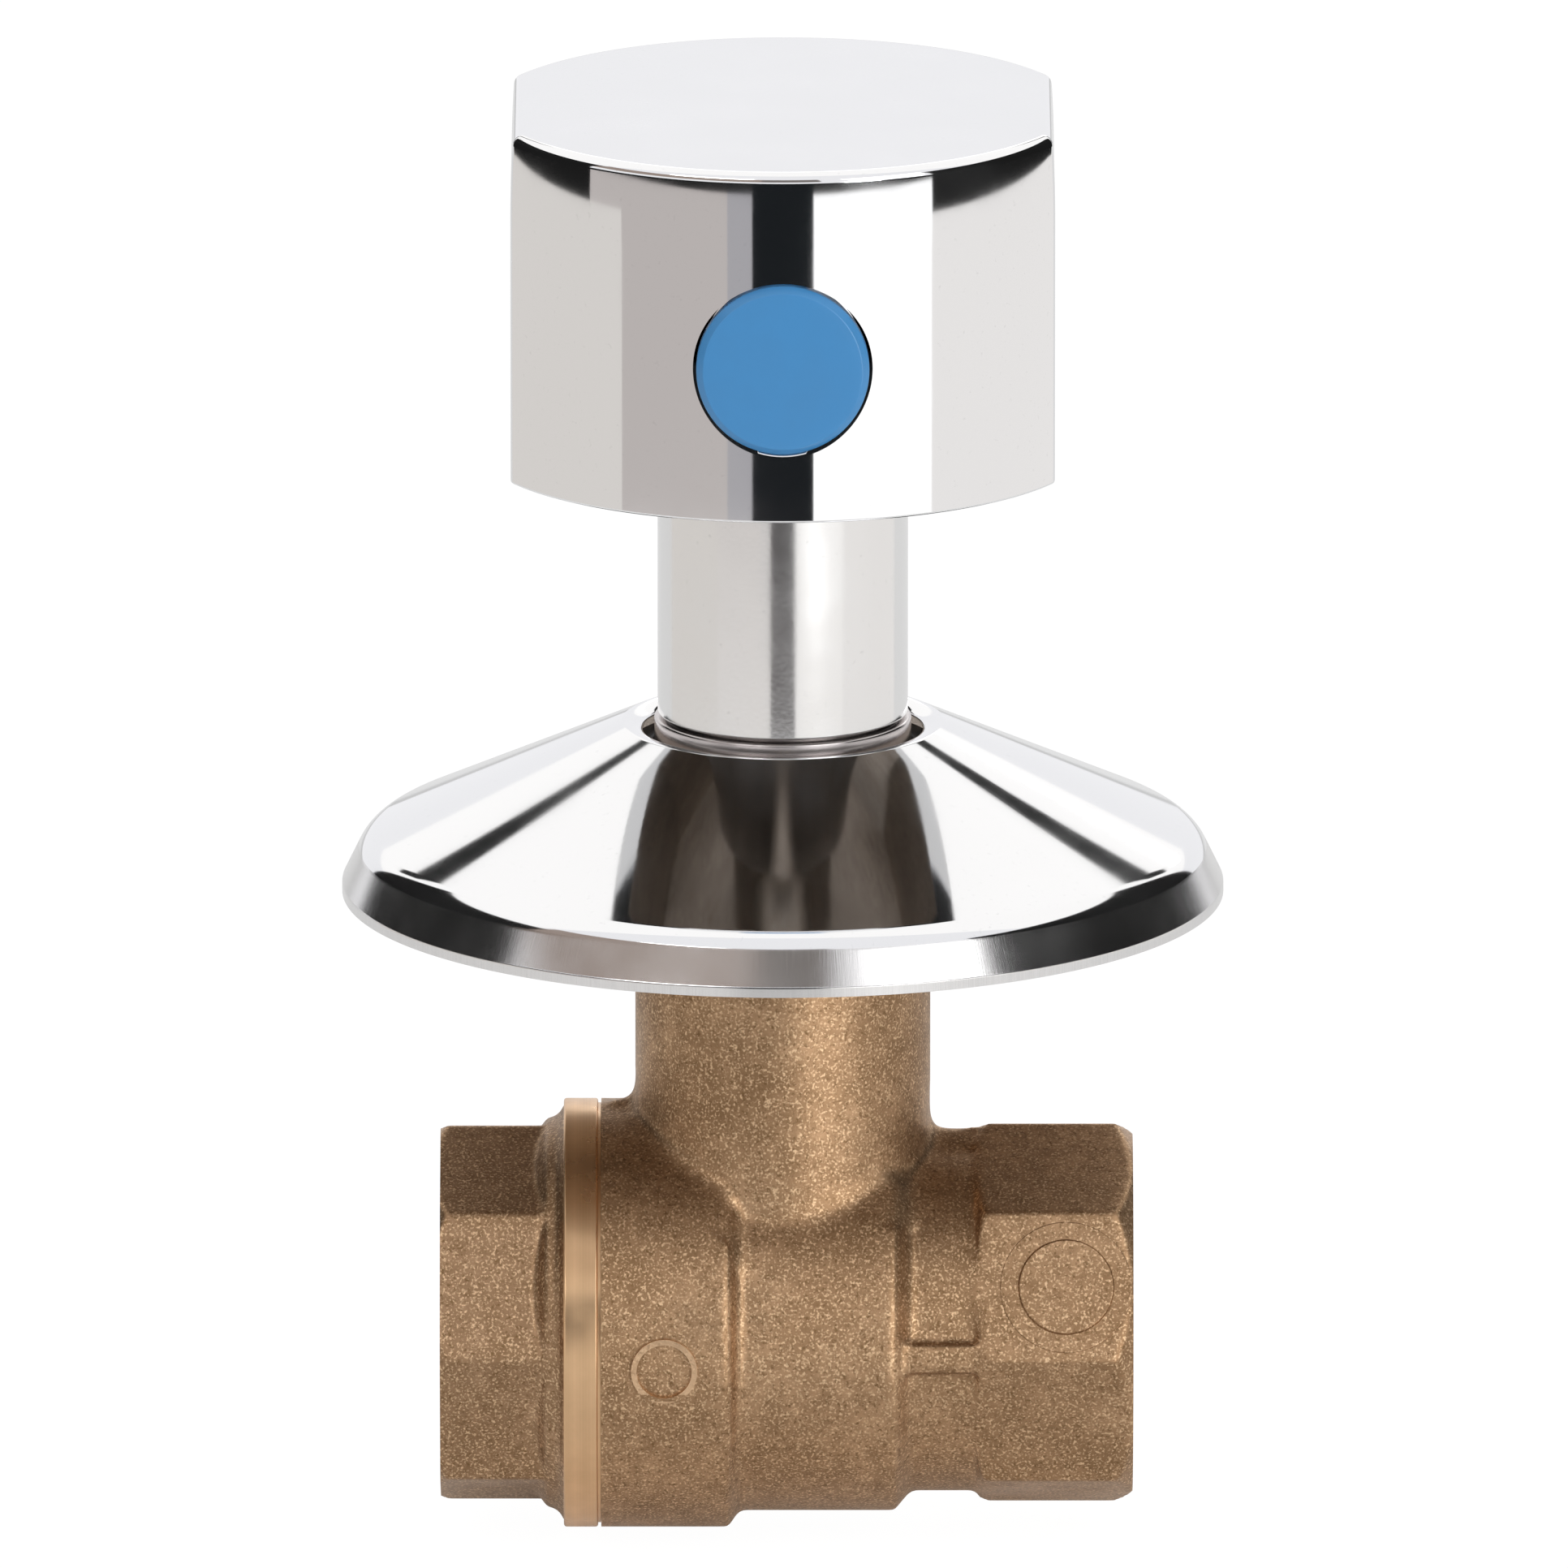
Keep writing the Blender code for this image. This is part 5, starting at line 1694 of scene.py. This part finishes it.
@dataclass
class Knob:
    """A hollow die-cast knob: round in front and behind, flat on two sides."""

    corner: float = 1.4 * MM
    edge: float = 0.9 * MM
    draft: float = 0.3 * MM
    draft_height: float = 8.0 * MM
    draft_steps: int = 10
    wall: float = 2.5 * MM
    foot_edge: float = 0.25 * MM
    hub_wall: float = 2.6 * MM
    boss_wall: float = 1.8 * MM
    boss_depth: float = 2.4 * MM
    screw_boss: float = 4.7 * MM
    cap_room: float = 2.3 * MM  # depth of the index cap's seat
    skin: float = 2.0 * MM  # outer part of the wall, which keeps its even shading

    def prism(self, name: str, inset: float, low: float, high: float) -> bpy.types.Object:
        """The knob's plan, raised from one height to another.

        Args:
            name: The prism's name.
            inset: How much smaller it is all round.
            low: Its lower end, along Z.
            high: Its upper end.

        Returns:
            The prism, with its four upright corners rounded.
        """
        box_high = cad_box("knob")[1]
        radius = box_high.y - inset
        half_width = box_high.x - inset
        prism = primitive(
            name,
            bpy.ops.mesh.primitive_cylinder_add,
            vertices=FINE_ROUND,
            radius=radius,
            depth=high - low,
            location=(0, 0, (low + high) / 2),
        )
        for side in (-1, 1):
            trim(prism, (side * half_width, 0, 0), (side, 0, 0))
        meet = math.acos(half_width / radius)
        with editing(prism):
            pick(prism, Item.EDGE, lambda edge: self.is_corner(edge, half_width, radius * math.sin(meet)))
            bpy.ops.mesh.bevel(offset=self.corner * math.tan(meet / 2), segments=6, affect="EDGES")
        return prism

    @staticmethod
    def is_corner(edge: bmesh.types.BMEdge, x: float, y: float) -> bool:
        """Whether an edge is one of the plan's four upright corners.

        Args:
            edge: The edge.
            x: How far the corners lie from the middle along X.
            y: The same along Y.

        Returns:
            True on an upright corner.
        """
        first, second = (vertex.co for vertex in edge.verts)
        upright = abs(first.z - second.z) > MM
        at_x = abs(abs(first.x) - x) < NEAR
        return upright and at_x and abs(abs(first.y) - y) < NEAR

    def shell(self) -> bpy.types.Object:
        """The knob's outside, drawn in a little towards its top, with its edges rounded.

        Returns:
            The knob as a solid, without its hollow.
        """
        low, high = cad_box("knob")
        shell = self.prism("knob_shell", 0, low.z, high.z)
        start = high.z - self.draft_height
        drawn = self.draft_height - self.edge - MARGIN
        heights = [start + drawn * step / self.draft_steps for step in range(self.draft_steps + 1)]
        with editing(shell):
            for height in heights:
                pick_all()
                bpy.ops.mesh.bisect(plane_co=(0, 0, height), plane_no=(0, 0, 1), threshold=TINY)
            for height in (*heights, high.z):
                shrink = 1 - self.draft / high.y * ((height - start) / self.draft_height) ** 2
                pick(shell, Item.VERTEX, lambda vertex: abs(vertex.co.z - height) < NEAR)
                bpy.ops.transform.resize(value=(shrink, shrink, 1), center_override=(0, 0, height))
            for end, edge_round, segments in ((high.z, self.edge, 6), (low.z, self.foot_edge, 3)):
                pick(shell, Item.EDGE, lambda edge: all(abs(v.co.z - end) < TINY for v in edge.verts))
                bpy.ops.mesh.bevel(
                    offset=edge_round, segments=segments, affect="EDGES", clamp_overlap=False
                )
        smooth(shell)
        return shell

    def hub_radius(self) -> float:
        """The hub's radius, from the splined insert that it holds."""
        return cad_box("knob_insert")[1].x + CLEARANCE + self.hub_wall

    def hub(self, ceiling: float) -> bpy.types.Object:
        """The hub round the splined insert, which hangs from the ceiling of the hollow.

        Args:
            ceiling: The hollow's upper end, along Z.

        Returns:
            The hub, not yet bored.
        """
        bottom = cad_box("knob_insert")[0].z - CLEARANCE
        outline = rod_outline(self.hub_radius(), bottom, ceiling + self.wall / 2)
        return turned("hub", outline, steps=HIDDEN_ROUND)

    def hub_cutter(self) -> bpy.types.Object:
        """Bores the hub for the splined insert.

        Returns:
            The cutter.
        """
        low, high = cad_box("knob_insert")
        outline = rod_outline(high.x + CLEARANCE, low.z - CLEARANCE - OVERRUN, high.z + CLEARANCE)
        return turned("hub_bore", outline, steps=HIDDEN_ROUND)

    def cap_seat(self) -> tuple[float, float, tuple[float, float, float]]:
        """The index cap's seat: its radius, its floor's distance from the stem, and its axis' middle."""
        low, high = cad_box("index_cap")
        return high.x + CLEARANCE, -low.y - self.cap_room, (0, 0, (low.z + high.z) / 2)

    def boss(self) -> bpy.types.Object:
        """The boss round the index cap's seat, and the narrower one round the screw.

        Returns:
            Both bosses in one piece, not yet bored.
        """
        high = cad_box("knob")[1]
        seat, floor, centre = self.cap_seat()
        radius = seat + self.boss_wall
        front = (high.y - self.wall + math.sqrt(high.y**2 - radius**2)) / 2
        outline = [
            (0, front),
            (radius, front),
            (radius, floor - self.boss_depth),
            (self.screw_boss, floor - self.boss_depth),
            (self.screw_boss, self.hub_radius() / 2),
            (0, self.hub_radius() / 2),
        ]
        return turned("boss", outline, Axis.FRONT, HIDDEN_ROUND, centre)

    def cap_cutter(self) -> bpy.types.Object:
        """Bores the index cap's seat and the screw's way in behind it.

        Returns:
            The cutter.
        """
        mouth = cad_box("knob")[1].y + OVERRUN
        screw = cad_box("knob_screw")[1].x + CLEARANCE
        seat, floor, centre = self.cap_seat()
        outline = [(0, 0), (screw, 0), (screw, floor), (seat, floor), (seat, mouth), (0, mouth)]
        return turned("cap_room", outline, Axis.FRONT, ROUND, centre)

    def build(self, finishes: Finishes) -> list[bpy.types.Object]:
        """Builds the knob.

        Args:
            finishes: The valve's materials.

        Returns:
            The finished piece, in a list.
        """
        low, high = cad_box("knob")
        ceiling = high.z - self.wall
        knob = self.shell()
        outside = knob.copy()
        outside.data = knob.data.copy()
        bpy.context.collection.objects.link(outside)

        combine(knob, self.prism("hollow", self.wall, low.z - OVERRUN, ceiling), Join.CUT)
        combine(knob, self.hub(ceiling), Join.UNION)
        combine(knob, self.boss(), Join.UNION)
        combine(knob, self.hub_cutter(), Join.CUT)
        combine(knob, self.cap_cutter(), Join.CUT)
        dress(knob, finishes.chrome, finishes.raw_casting)
        paint(knob, 1, lambda face: self.is_inside(face, low.z, ceiling))
        smooth(knob)
        self.keep_shading(knob, outside)
        return [publish(knob, Body.HANDLE, "knob")]

    def is_inside(self, face: bmesh.types.BMFace, low: float, ceiling: float) -> bool:
        """Whether a face lies inside the hollow.

        Args:
            face: The face.
            low: The knob's lower end, along Z.
            ceiling: The hollow's upper end.

        Returns:
            True inside the hollow.
        """
        box_high = cad_box("knob")[1]
        centre = face.calc_center_median()
        within_round = from_stem(centre) < box_high.y - self.wall + MARGIN
        within_width = abs(centre.x) < box_high.x - self.wall + MARGIN
        return within_round and within_width and low + NEAR < centre.z < ceiling + MARGIN

    def keep_shading(self, knob: bpy.types.Object, outside: bpy.types.Object) -> None:
        """Gives the outside of the cut knob the even shading that it had before it was cut.

        Args:
            knob: The finished knob.
            outside: A copy of its outside from before the cuts, which is removed.
        """
        box_high = cad_box("knob")[1]
        group = knob.vertex_groups.new(name="skin")
        with editing(knob):
            pick(
                knob,
                Item.VERTEX,
                lambda vertex: from_stem(vertex.co) > box_high.y - self.skin
                or abs(vertex.co.x) > box_high.x - self.skin
                or vertex.co.z > box_high.z - self.edge,
            )
            bpy.ops.object.vertex_group_assign()
        apply(
            knob,
            "DATA_TRANSFER",
            object=outside,
            use_loop_data=True,
            data_types_loops={"CUSTOM_NORMAL"},
            loop_mapping="POLYINTERP_NEAREST",
            vertex_group=group.name,
        )
        knob.vertex_groups.clear()
        bpy.data.objects.remove(outside, do_unlink=True)


@dataclass
class IndexCap:
    """The round blue cap in the knob's front."""

    bevel: float = 0.6 * MM
    thickness: float = 2.0 * MM
    plug: float = 2.5 * MM
    fall: float = 0.06 * MM  # how far the crowned face falls to its rim
    rings: int = 8
    face_edge: float = 0.15 * MM
    side_edge: float = 0.2 * MM

    def build(self, finishes: Finishes) -> list[bpy.types.Object]:
        """Builds the cap with a very slightly crowned face and a bevelled rim.

        Args:
            finishes: The valve's materials.

        Returns:
            The finished piece, in a list.
        """
        low, high = cad_box("index_cap")
        face, radius = -low.y, high.x
        flat = radius - self.bevel
        crown = [
            (flat * ring / self.rings, face - self.fall * (ring / self.rings) ** 2)
            for ring in range(self.rings)
        ]
        rim = rounded(
            [
                (*crown[-1], 0),
                (flat, face - self.fall, self.face_edge),
                (radius, face - self.fall - self.bevel, self.side_edge),
                (radius, face - self.thickness, self.face_edge),
                (self.plug, face - self.thickness, 0),
                (self.plug, -high.y, self.side_edge),
                (0, -high.y, 0),
            ],
            steps=4,
            closed=False,
        )[1:]
        centre = (0, 0, (low.z + high.z) / 2)
        cap = turned("index_cap_face", [*crown, *rim], Axis.FRONT, ROUND, centre)
        dress(cap, finishes.blue_plastic)
        smooth(cap)
        return [publish(cap, Body.HANDLE, "index_cap")]


# Inner pieces and rings


@dataclass
class BallAndSeats:
    """The ported ball and the two rings that it turns in."""

    port: float = 9.75 * MM
    slot_half_width: float = 2.15 * MM
    slot_depth: float = 3.5 * MM
    arc_steps: int = 40
    seat_bore: float = 9.9 * MM
    cup_steps: int = 8

    def build(self, finishes: Finishes) -> list[bpy.types.Object]:
        """Builds the ball and both seats.

        Args:
            finishes: The valve's materials.

        Returns:
            The three finished pieces.
        """
        radius = cad_box("ball")[1].y
        rim = math.asin(self.port / radius)
        turns = [rim + (math.pi - 2 * rim) * step / self.arc_steps for step in range(self.arc_steps + 1)]
        skin = [(radius * math.sin(turn), -radius * math.cos(turn)) for turn in turns]
        ball = turned("ball_ported", skin, Axis.PIPE, ROUND)
        slot = block(
            "stem_slot",
            (-self.slot_half_width, -radius, radius - self.slot_depth),
            (self.slot_half_width, radius, radius + OVERRUN),
        )
        combine(ball, slot, Join.CUT)
        dress(ball, finishes.ball_chrome)
        smooth(ball)
        publish(ball, Body.HANDLE, "ball")
        return [ball, self.seat("seat_outlet", 1, finishes), self.seat("seat_inlet", -1, finishes)]

    def seat(self, node: str, side: int, finishes: Finishes) -> bpy.types.Object:
        """Builds one seat ring, whose cup fits the ball.

        Args:
            node: The CAD node that it stands for.
            side: 1 for the outlet's, -1 for the inlet's.
            finishes: The valve's materials.

        Returns:
            The finished ring.
        """
        low, high = cad_box(node)
        near, far = sorted((abs(low.x), abs(high.x)))
        cup = cad_box("ball")[1].y + CLEARANCE
        start, end = math.asin(self.seat_bore / cup), math.acos(near / cup)
        turns = [end + (start - end) * step / self.cup_steps for step in range(self.cup_steps + 1)]
        outline = [
            (high.y, near * side),
            *[(cup * math.sin(turn), cup * math.cos(turn) * side) for turn in turns],
            (self.seat_bore, far * side),
            (high.y, far * side),
        ]
        ring = turned(node + "_ring", outline, Axis.PIPE, ROUND)
        dress(ring, finishes.ptfe)
        smooth(ring)
        return publish(ring, Body.PIPE, node)


@dataclass(frozen=True)
class PlainRing:
    """A ring or washer that is turned to its CAD node's own size."""

    node: str
    wall: float
    edge: float
    body: Body
    slot: Slot

    def build(self, finishes: Finishes) -> list[bpy.types.Object]:
        """Builds the ring.

        Args:
            finishes: The valve's materials.

        Returns:
            The finished ring, in a list.
        """
        low, high = cad_box(self.node)
        outline = ring_outline(high.x - self.wall, high.x, low.z, high.z, self.edge)
        ring = turned(self.node + "_turned", outline, steps=ROUND)
        dress(ring, finishes.fibre if self.slot is Slot.FIBRE else finishes.rubber)
        smooth(ring)
        return [publish(ring, self.body, self.node)]


def dress_inner_nodes(finishes: Finishes) -> None:
    """Gives each CAD node that stays its own finish.

    Args:
        finishes: The valve's materials.
    """
    inner = {
        "end_cap_seal": finishes.rubber,
        "stem": finishes.turned_z,
        "thrust_washer": finishes.ptfe,
        "stem_oring_lower": finishes.rubber,
        "stem_oring_upper": finishes.rubber,
        "stem_packing": finishes.ptfe,
        "gland_nut": finishes.turned_z,
        "stop_ring": finishes.steel,
        "spindle": finishes.turned_z,
        "spindle_bush": finishes.white_plastic,
        "circlip": finishes.steel,
        "knob_insert": finishes.white_plastic,
        "knob_screw": finishes.steel,
    }
    for node, material in inner.items():
        dress(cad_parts[node], material)
        LOG.info("%s keeps its CAD form, in %s", node, material.name)


# Studio


@dataclass(frozen=True)
class Card:
    """A strip of the round screen that bright metal mirrors, between two turns and two heights."""

    name: str
    turns: tuple[float, float]
    heights: tuple[float, float]
    light: Colour


@dataclass(frozen=True)
class Lamp:
    """A square soft lamp."""

    name: str
    place: tuple[float, float, float]
    size: float
    power: float
    aim: tuple[float, float, float] = (0, 0, 0.02)

    def add(self) -> None:
        """Hangs the lamp at its place and turns it to its aim."""
        data = bpy.data.lights.new(self.name, "AREA")
        data.shape = "SQUARE"
        data.size = self.size
        data.energy = self.power
        lamp = bpy.data.objects.new(self.name, data)
        bpy.context.collection.objects.link(lamp)
        lamp.location = self.place
        lamp.rotation_euler = (Vector(self.aim) - Vector(self.place)).to_track_quat("-Z", "Y").to_euler()


LAMPS = (
    Lamp("low_front", (0.52, -0.90, 0.10), 0.25, 3.7),
    Lamp("low_right", (0.95, -0.35, 0.12), 0.30, 1.4),
    Lamp("key", (-0.45, -0.75, 0.60), 0.5, 2.6),
    Lamp("fill", (0.60, -0.70, 0.45), 0.5, 1.2),
    Lamp("back", (0.20, 0.90, 0.70), 0.6, 2.0, aim=(0, 0, 0.04)),
)


@dataclass
class Studio:
    """Floor, world, lamps, the screen that the metal mirrors, and the camera."""

    floor_z: float = -0.0203
    floor_size: float = 8.0
    floor_colour: Colour = (0.86, 0.86, 0.86)
    floor_glow: float = 1.06
    floor_seen: float = 0.92  # share of the glow that the camera sees
    floor_mirrored: float = 0.20  # share of it that mirrors see
    ambient: float = 0.55
    mirrored_sky: Colour = (0.935, 0.935, 0.955)
    screen_radius: float = 0.30
    screen_steps: int = 360
    bar_x: float = 0.093  # from the middle to each dark bar
    bar_half_width: float = 0.008
    bar_y: tuple[float, float] = (0.10, 0.32)
    bar_z: tuple[float, float] = (0.105, 0.124)
    bar_rise: float = 0.192
    bar_light: Colour = (0.02, 0.02, 0.02)
    sky_low: tuple[float, float, float] = (-1.0, -0.10, 0.500)
    sky_high: tuple[float, float, float] = (1.0, 1.40, 0.502)
    sky_light: Colour = (1.10, 1.09, 1.08)
    camera_place: tuple[float, float, float] = (0.00011, -4.738, 1.2377)
    camera_tilt: float = 75.922
    lens: float = 1236.0

    def cards(self) -> list[Card]:
        """The screen's strips. Turns are in degrees from the front, positive towards +X.

        Returns:
            The strips.
        """
        floor, foot, side, pane, dark, black = self.floor_z, 0.011, 0.060, 0.078, 0.127, 0.283
        skirt = (0.185, 0.320)
        return [
            Card("gap", (-11, 11), (foot, dark), (0.012, 0.014, 0.016)),
            Card("gap_foot", (-11, 11), (floor, foot), (0.10, 0.09, 0.09)),
            Card("right_pane", (11, 56), (foot, pane), (1.25, 1.25, 1.25)),
            Card("right_pane_foot", (11, 56), (floor, foot), (0.98, 0.96, 0.94)),
            Card("left_pane_inner", (-20, -11), (foot, pane), (0.42, 0.41, 0.43)),
            Card("left_pane", (-61, -20), (foot, pane), (0.54, 0.50, 0.485)),
            Card("left_corner", (-75, -61), (side, pane), (0.54, 0.50, 0.485)),
            Card("left_pane_foot", (-61, -11), (floor, foot), (0.79, 0.76, 0.74)),
            Card("front_line_left", (-75, -11), (pane, dark), (0.02, 0.02, 0.02)),
            Card("front_line_right", (11, 56), (pane, dark), (0.02, 0.02, 0.02)),
            Card("right_side", (56, 123), (floor, side), (0.90, 0.88, 0.865)),
            Card("left_side", (-123, -61), (floor, side), (0.74, 0.71, 0.68)),
            Card("right_black", (56, 138), (side, black), (0.012, 0.012, 0.012)),
            Card("left_black", (-138, -75), (side, black), (0.012, 0.012, 0.012)),
            Card("skirt_left", (-75, -8), skirt, (0.34, 0.275, 0.24)),
            Card("skirt_middle", (-8, 14), skirt, (0.20, 0.18, 0.17)),
        ]

    def emitter(self, name: str, light: Colour) -> bpy.types.Material:
        """A material that only gives light of one colour.

        Args:
            name: The material's name.
            light: What it gives.

        Returns:
            The material.
        """
        made = bpy.data.materials.new(name)
        graph = bare_graph(made)
        glow = graph.node("ShaderNodeEmission", {"Color": (*light, 1.0), "Strength": 1.0})
        graph.node("ShaderNodeOutputMaterial", {"Surface": glow.outputs[0]})
        return made

    def only_mirrored(self, piece: bpy.types.Object, light: Colour) -> None:
        """Turns an object into a card that nothing but a mirror-like surface sees.

        Args:
            piece: The object.
            light: What the card gives.
        """
        dress(piece, self.emitter(piece.name, light))
        piece.visible_camera = False
        piece.visible_diffuse = False
        piece.visible_transmission = False
        piece.visible_volume_scatter = False
        piece.visible_shadow = False

    def add_card(self, card: Card) -> None:
        """Adds one strip of the round screen.

        Args:
            card: The strip.
        """
        low, high = card.heights
        strip = primitive(
            "card_" + card.name,
            bpy.ops.mesh.primitive_cylinder_add,
            vertices=self.screen_steps,
            radius=self.screen_radius,
            depth=high - low,
            location=(0, 0, (low + high) / 2),
            end_fill_type="NOTHING",
        )
        start, end = card.turns
        with editing(strip):
            pick(strip, Item.FACE, lambda face: not start < self.turn_of(face) < end)
            bpy.ops.mesh.delete(type="FACE")
        self.only_mirrored(strip, card.light)

    @staticmethod
    def turn_of(face: bmesh.types.BMFace) -> float:
        """A face's turn in degrees from the front, positive towards +X."""
        centre = face.calc_center_median()
        return math.degrees(math.atan2(centre.x, -centre.y))

    def add_bars(self) -> None:
        """Adds the two dark bars, rising towards the back, that the cone mirrors as a V."""
        (near, far), (bottom, top) = self.bar_y, self.bar_z
        for name, middle in (("left", -self.bar_x), ("right", self.bar_x)):
            low = (middle - self.bar_half_width, near, bottom)
            high = (middle + self.bar_half_width, far, top)
            bar = block("bar_" + name, low, high)
            with editing(bar):
                pick(bar, Item.VERTEX, lambda vertex: vertex.co.y > (near + far) / 2)
                bpy.ops.transform.translate(value=(0, 0, self.bar_rise))
            self.only_mirrored(bar, self.bar_light)

    def add_sky(self) -> None:
        """Adds a bright ceiling card that the rosette's cone mirrors."""
        self.only_mirrored(block("sky", self.sky_low, self.sky_high), self.sky_light)

    def add_floor(self) -> None:
        """Adds a pale floor that is white to the camera and keeps a faint shadow."""
        floor = primitive(
            "studio_floor",
            bpy.ops.mesh.primitive_plane_add,
            size=self.floor_size,
            location=(0, 0, self.floor_z),
        )
        made = bpy.data.materials.new("floor")
        graph = bare_graph(made)
        matt = graph.node("ShaderNodeBsdfDiffuse", {"Color": opaque(self.floor_colour)})
        glow = graph.node("ShaderNodeEmission", {"Color": (1, 1, 1, 1), "Strength": self.floor_glow})
        rays = graph.node("ShaderNodeLightPath").outputs
        seen = graph.math("MULTIPLY", rays["Is Camera Ray"], self.floor_seen)
        mirrored = graph.math("MULTIPLY", rays["Is Glossy Ray"], self.floor_mirrored)
        lit = graph.mixed(graph.math("ADD", seen, mirrored), matt, glow)
        below = graph.node("ShaderNodeNewGeometry").outputs["Backfacing"]
        one_sided = graph.mixed(below, lit, graph.node("ShaderNodeBsdfTransparent"))
        graph.node("ShaderNodeOutputMaterial", {"Surface": one_sided.outputs[0]})
        dress(floor, made)

    def set_world(self) -> None:
        """Sets a white background, a pale sky for mirrors and a plain ambient light."""
        world = bpy.data.worlds.new("studio")
        bpy.context.scene.world = world
        graph = bare_graph(world)
        rays = graph.node("ShaderNodeLightPath").outputs
        ambient = graph.node("ShaderNodeBackground", {"Color": (1, 1, 1, 1), "Strength": self.ambient})
        mirrored = graph.node("ShaderNodeBackground", {"Color": opaque(self.mirrored_sky)})
        backdrop = graph.node("ShaderNodeBackground", {"Color": (1, 1, 1, 1)})
        lit = graph.mixed(rays["Is Glossy Ray"], ambient, mirrored)
        seen = graph.math("MAXIMUM", rays["Is Camera Ray"], rays["Is Transmission Ray"])
        whole = graph.mixed(seen, lit, backdrop)
        graph.node("ShaderNodeOutputWorld", {"Surface": whole.outputs[0]})

    def add_camera(self) -> None:
        """Adds the camera at the photograph's viewing angle."""
        data = bpy.data.cameras.new("camera")
        data.lens = self.lens
        camera = bpy.data.objects.new("camera", data)
        bpy.context.collection.objects.link(camera)
        camera.location = self.camera_place
        camera.rotation_euler = (math.radians(self.camera_tilt), 0, 0)
        bpy.context.scene.camera = camera

    def build(self) -> None:
        """Sets up the whole studio."""
        self.add_camera()
        self.set_world()
        self.add_floor()
        for card in self.cards():
            self.add_card(card)
        self.add_bars()
        self.add_sky()
        for lamp in LAMPS:
            lamp.add()
        bpy.context.scene.view_settings.view_transform = "Standard"


def main() -> None:
    """Builds the studio and every piece in order."""
    logging.basicConfig(level=logging.INFO, format="%(name)s: %(message)s")
    Studio().build()
    finishes = Finishes()
    assemblies = (
        ValveBody(),
        EndCap(),
        Bonnet(),
        Sleeve(),
        Rosette(),
        Knob(),
        IndexCap(),
        BallAndSeats(),
        PlainRing("bonnet_seal", 2.0 * MM, 0.1 * MM, Body.PIPE, Slot.FIBRE),
        PlainRing("rosette_gasket", 2.1 * MM, 0.3 * MM, Body.ROSETTE, Slot.RUBBER),
    )
    for assembly in assemblies:
        for piece in assembly.build(finishes):
            LOG.info("%s is built, with %d faces", piece.name, len(piece.data.polygons))
    dress_inner_nodes(finishes)


if __name__ == "__main__":
    main()
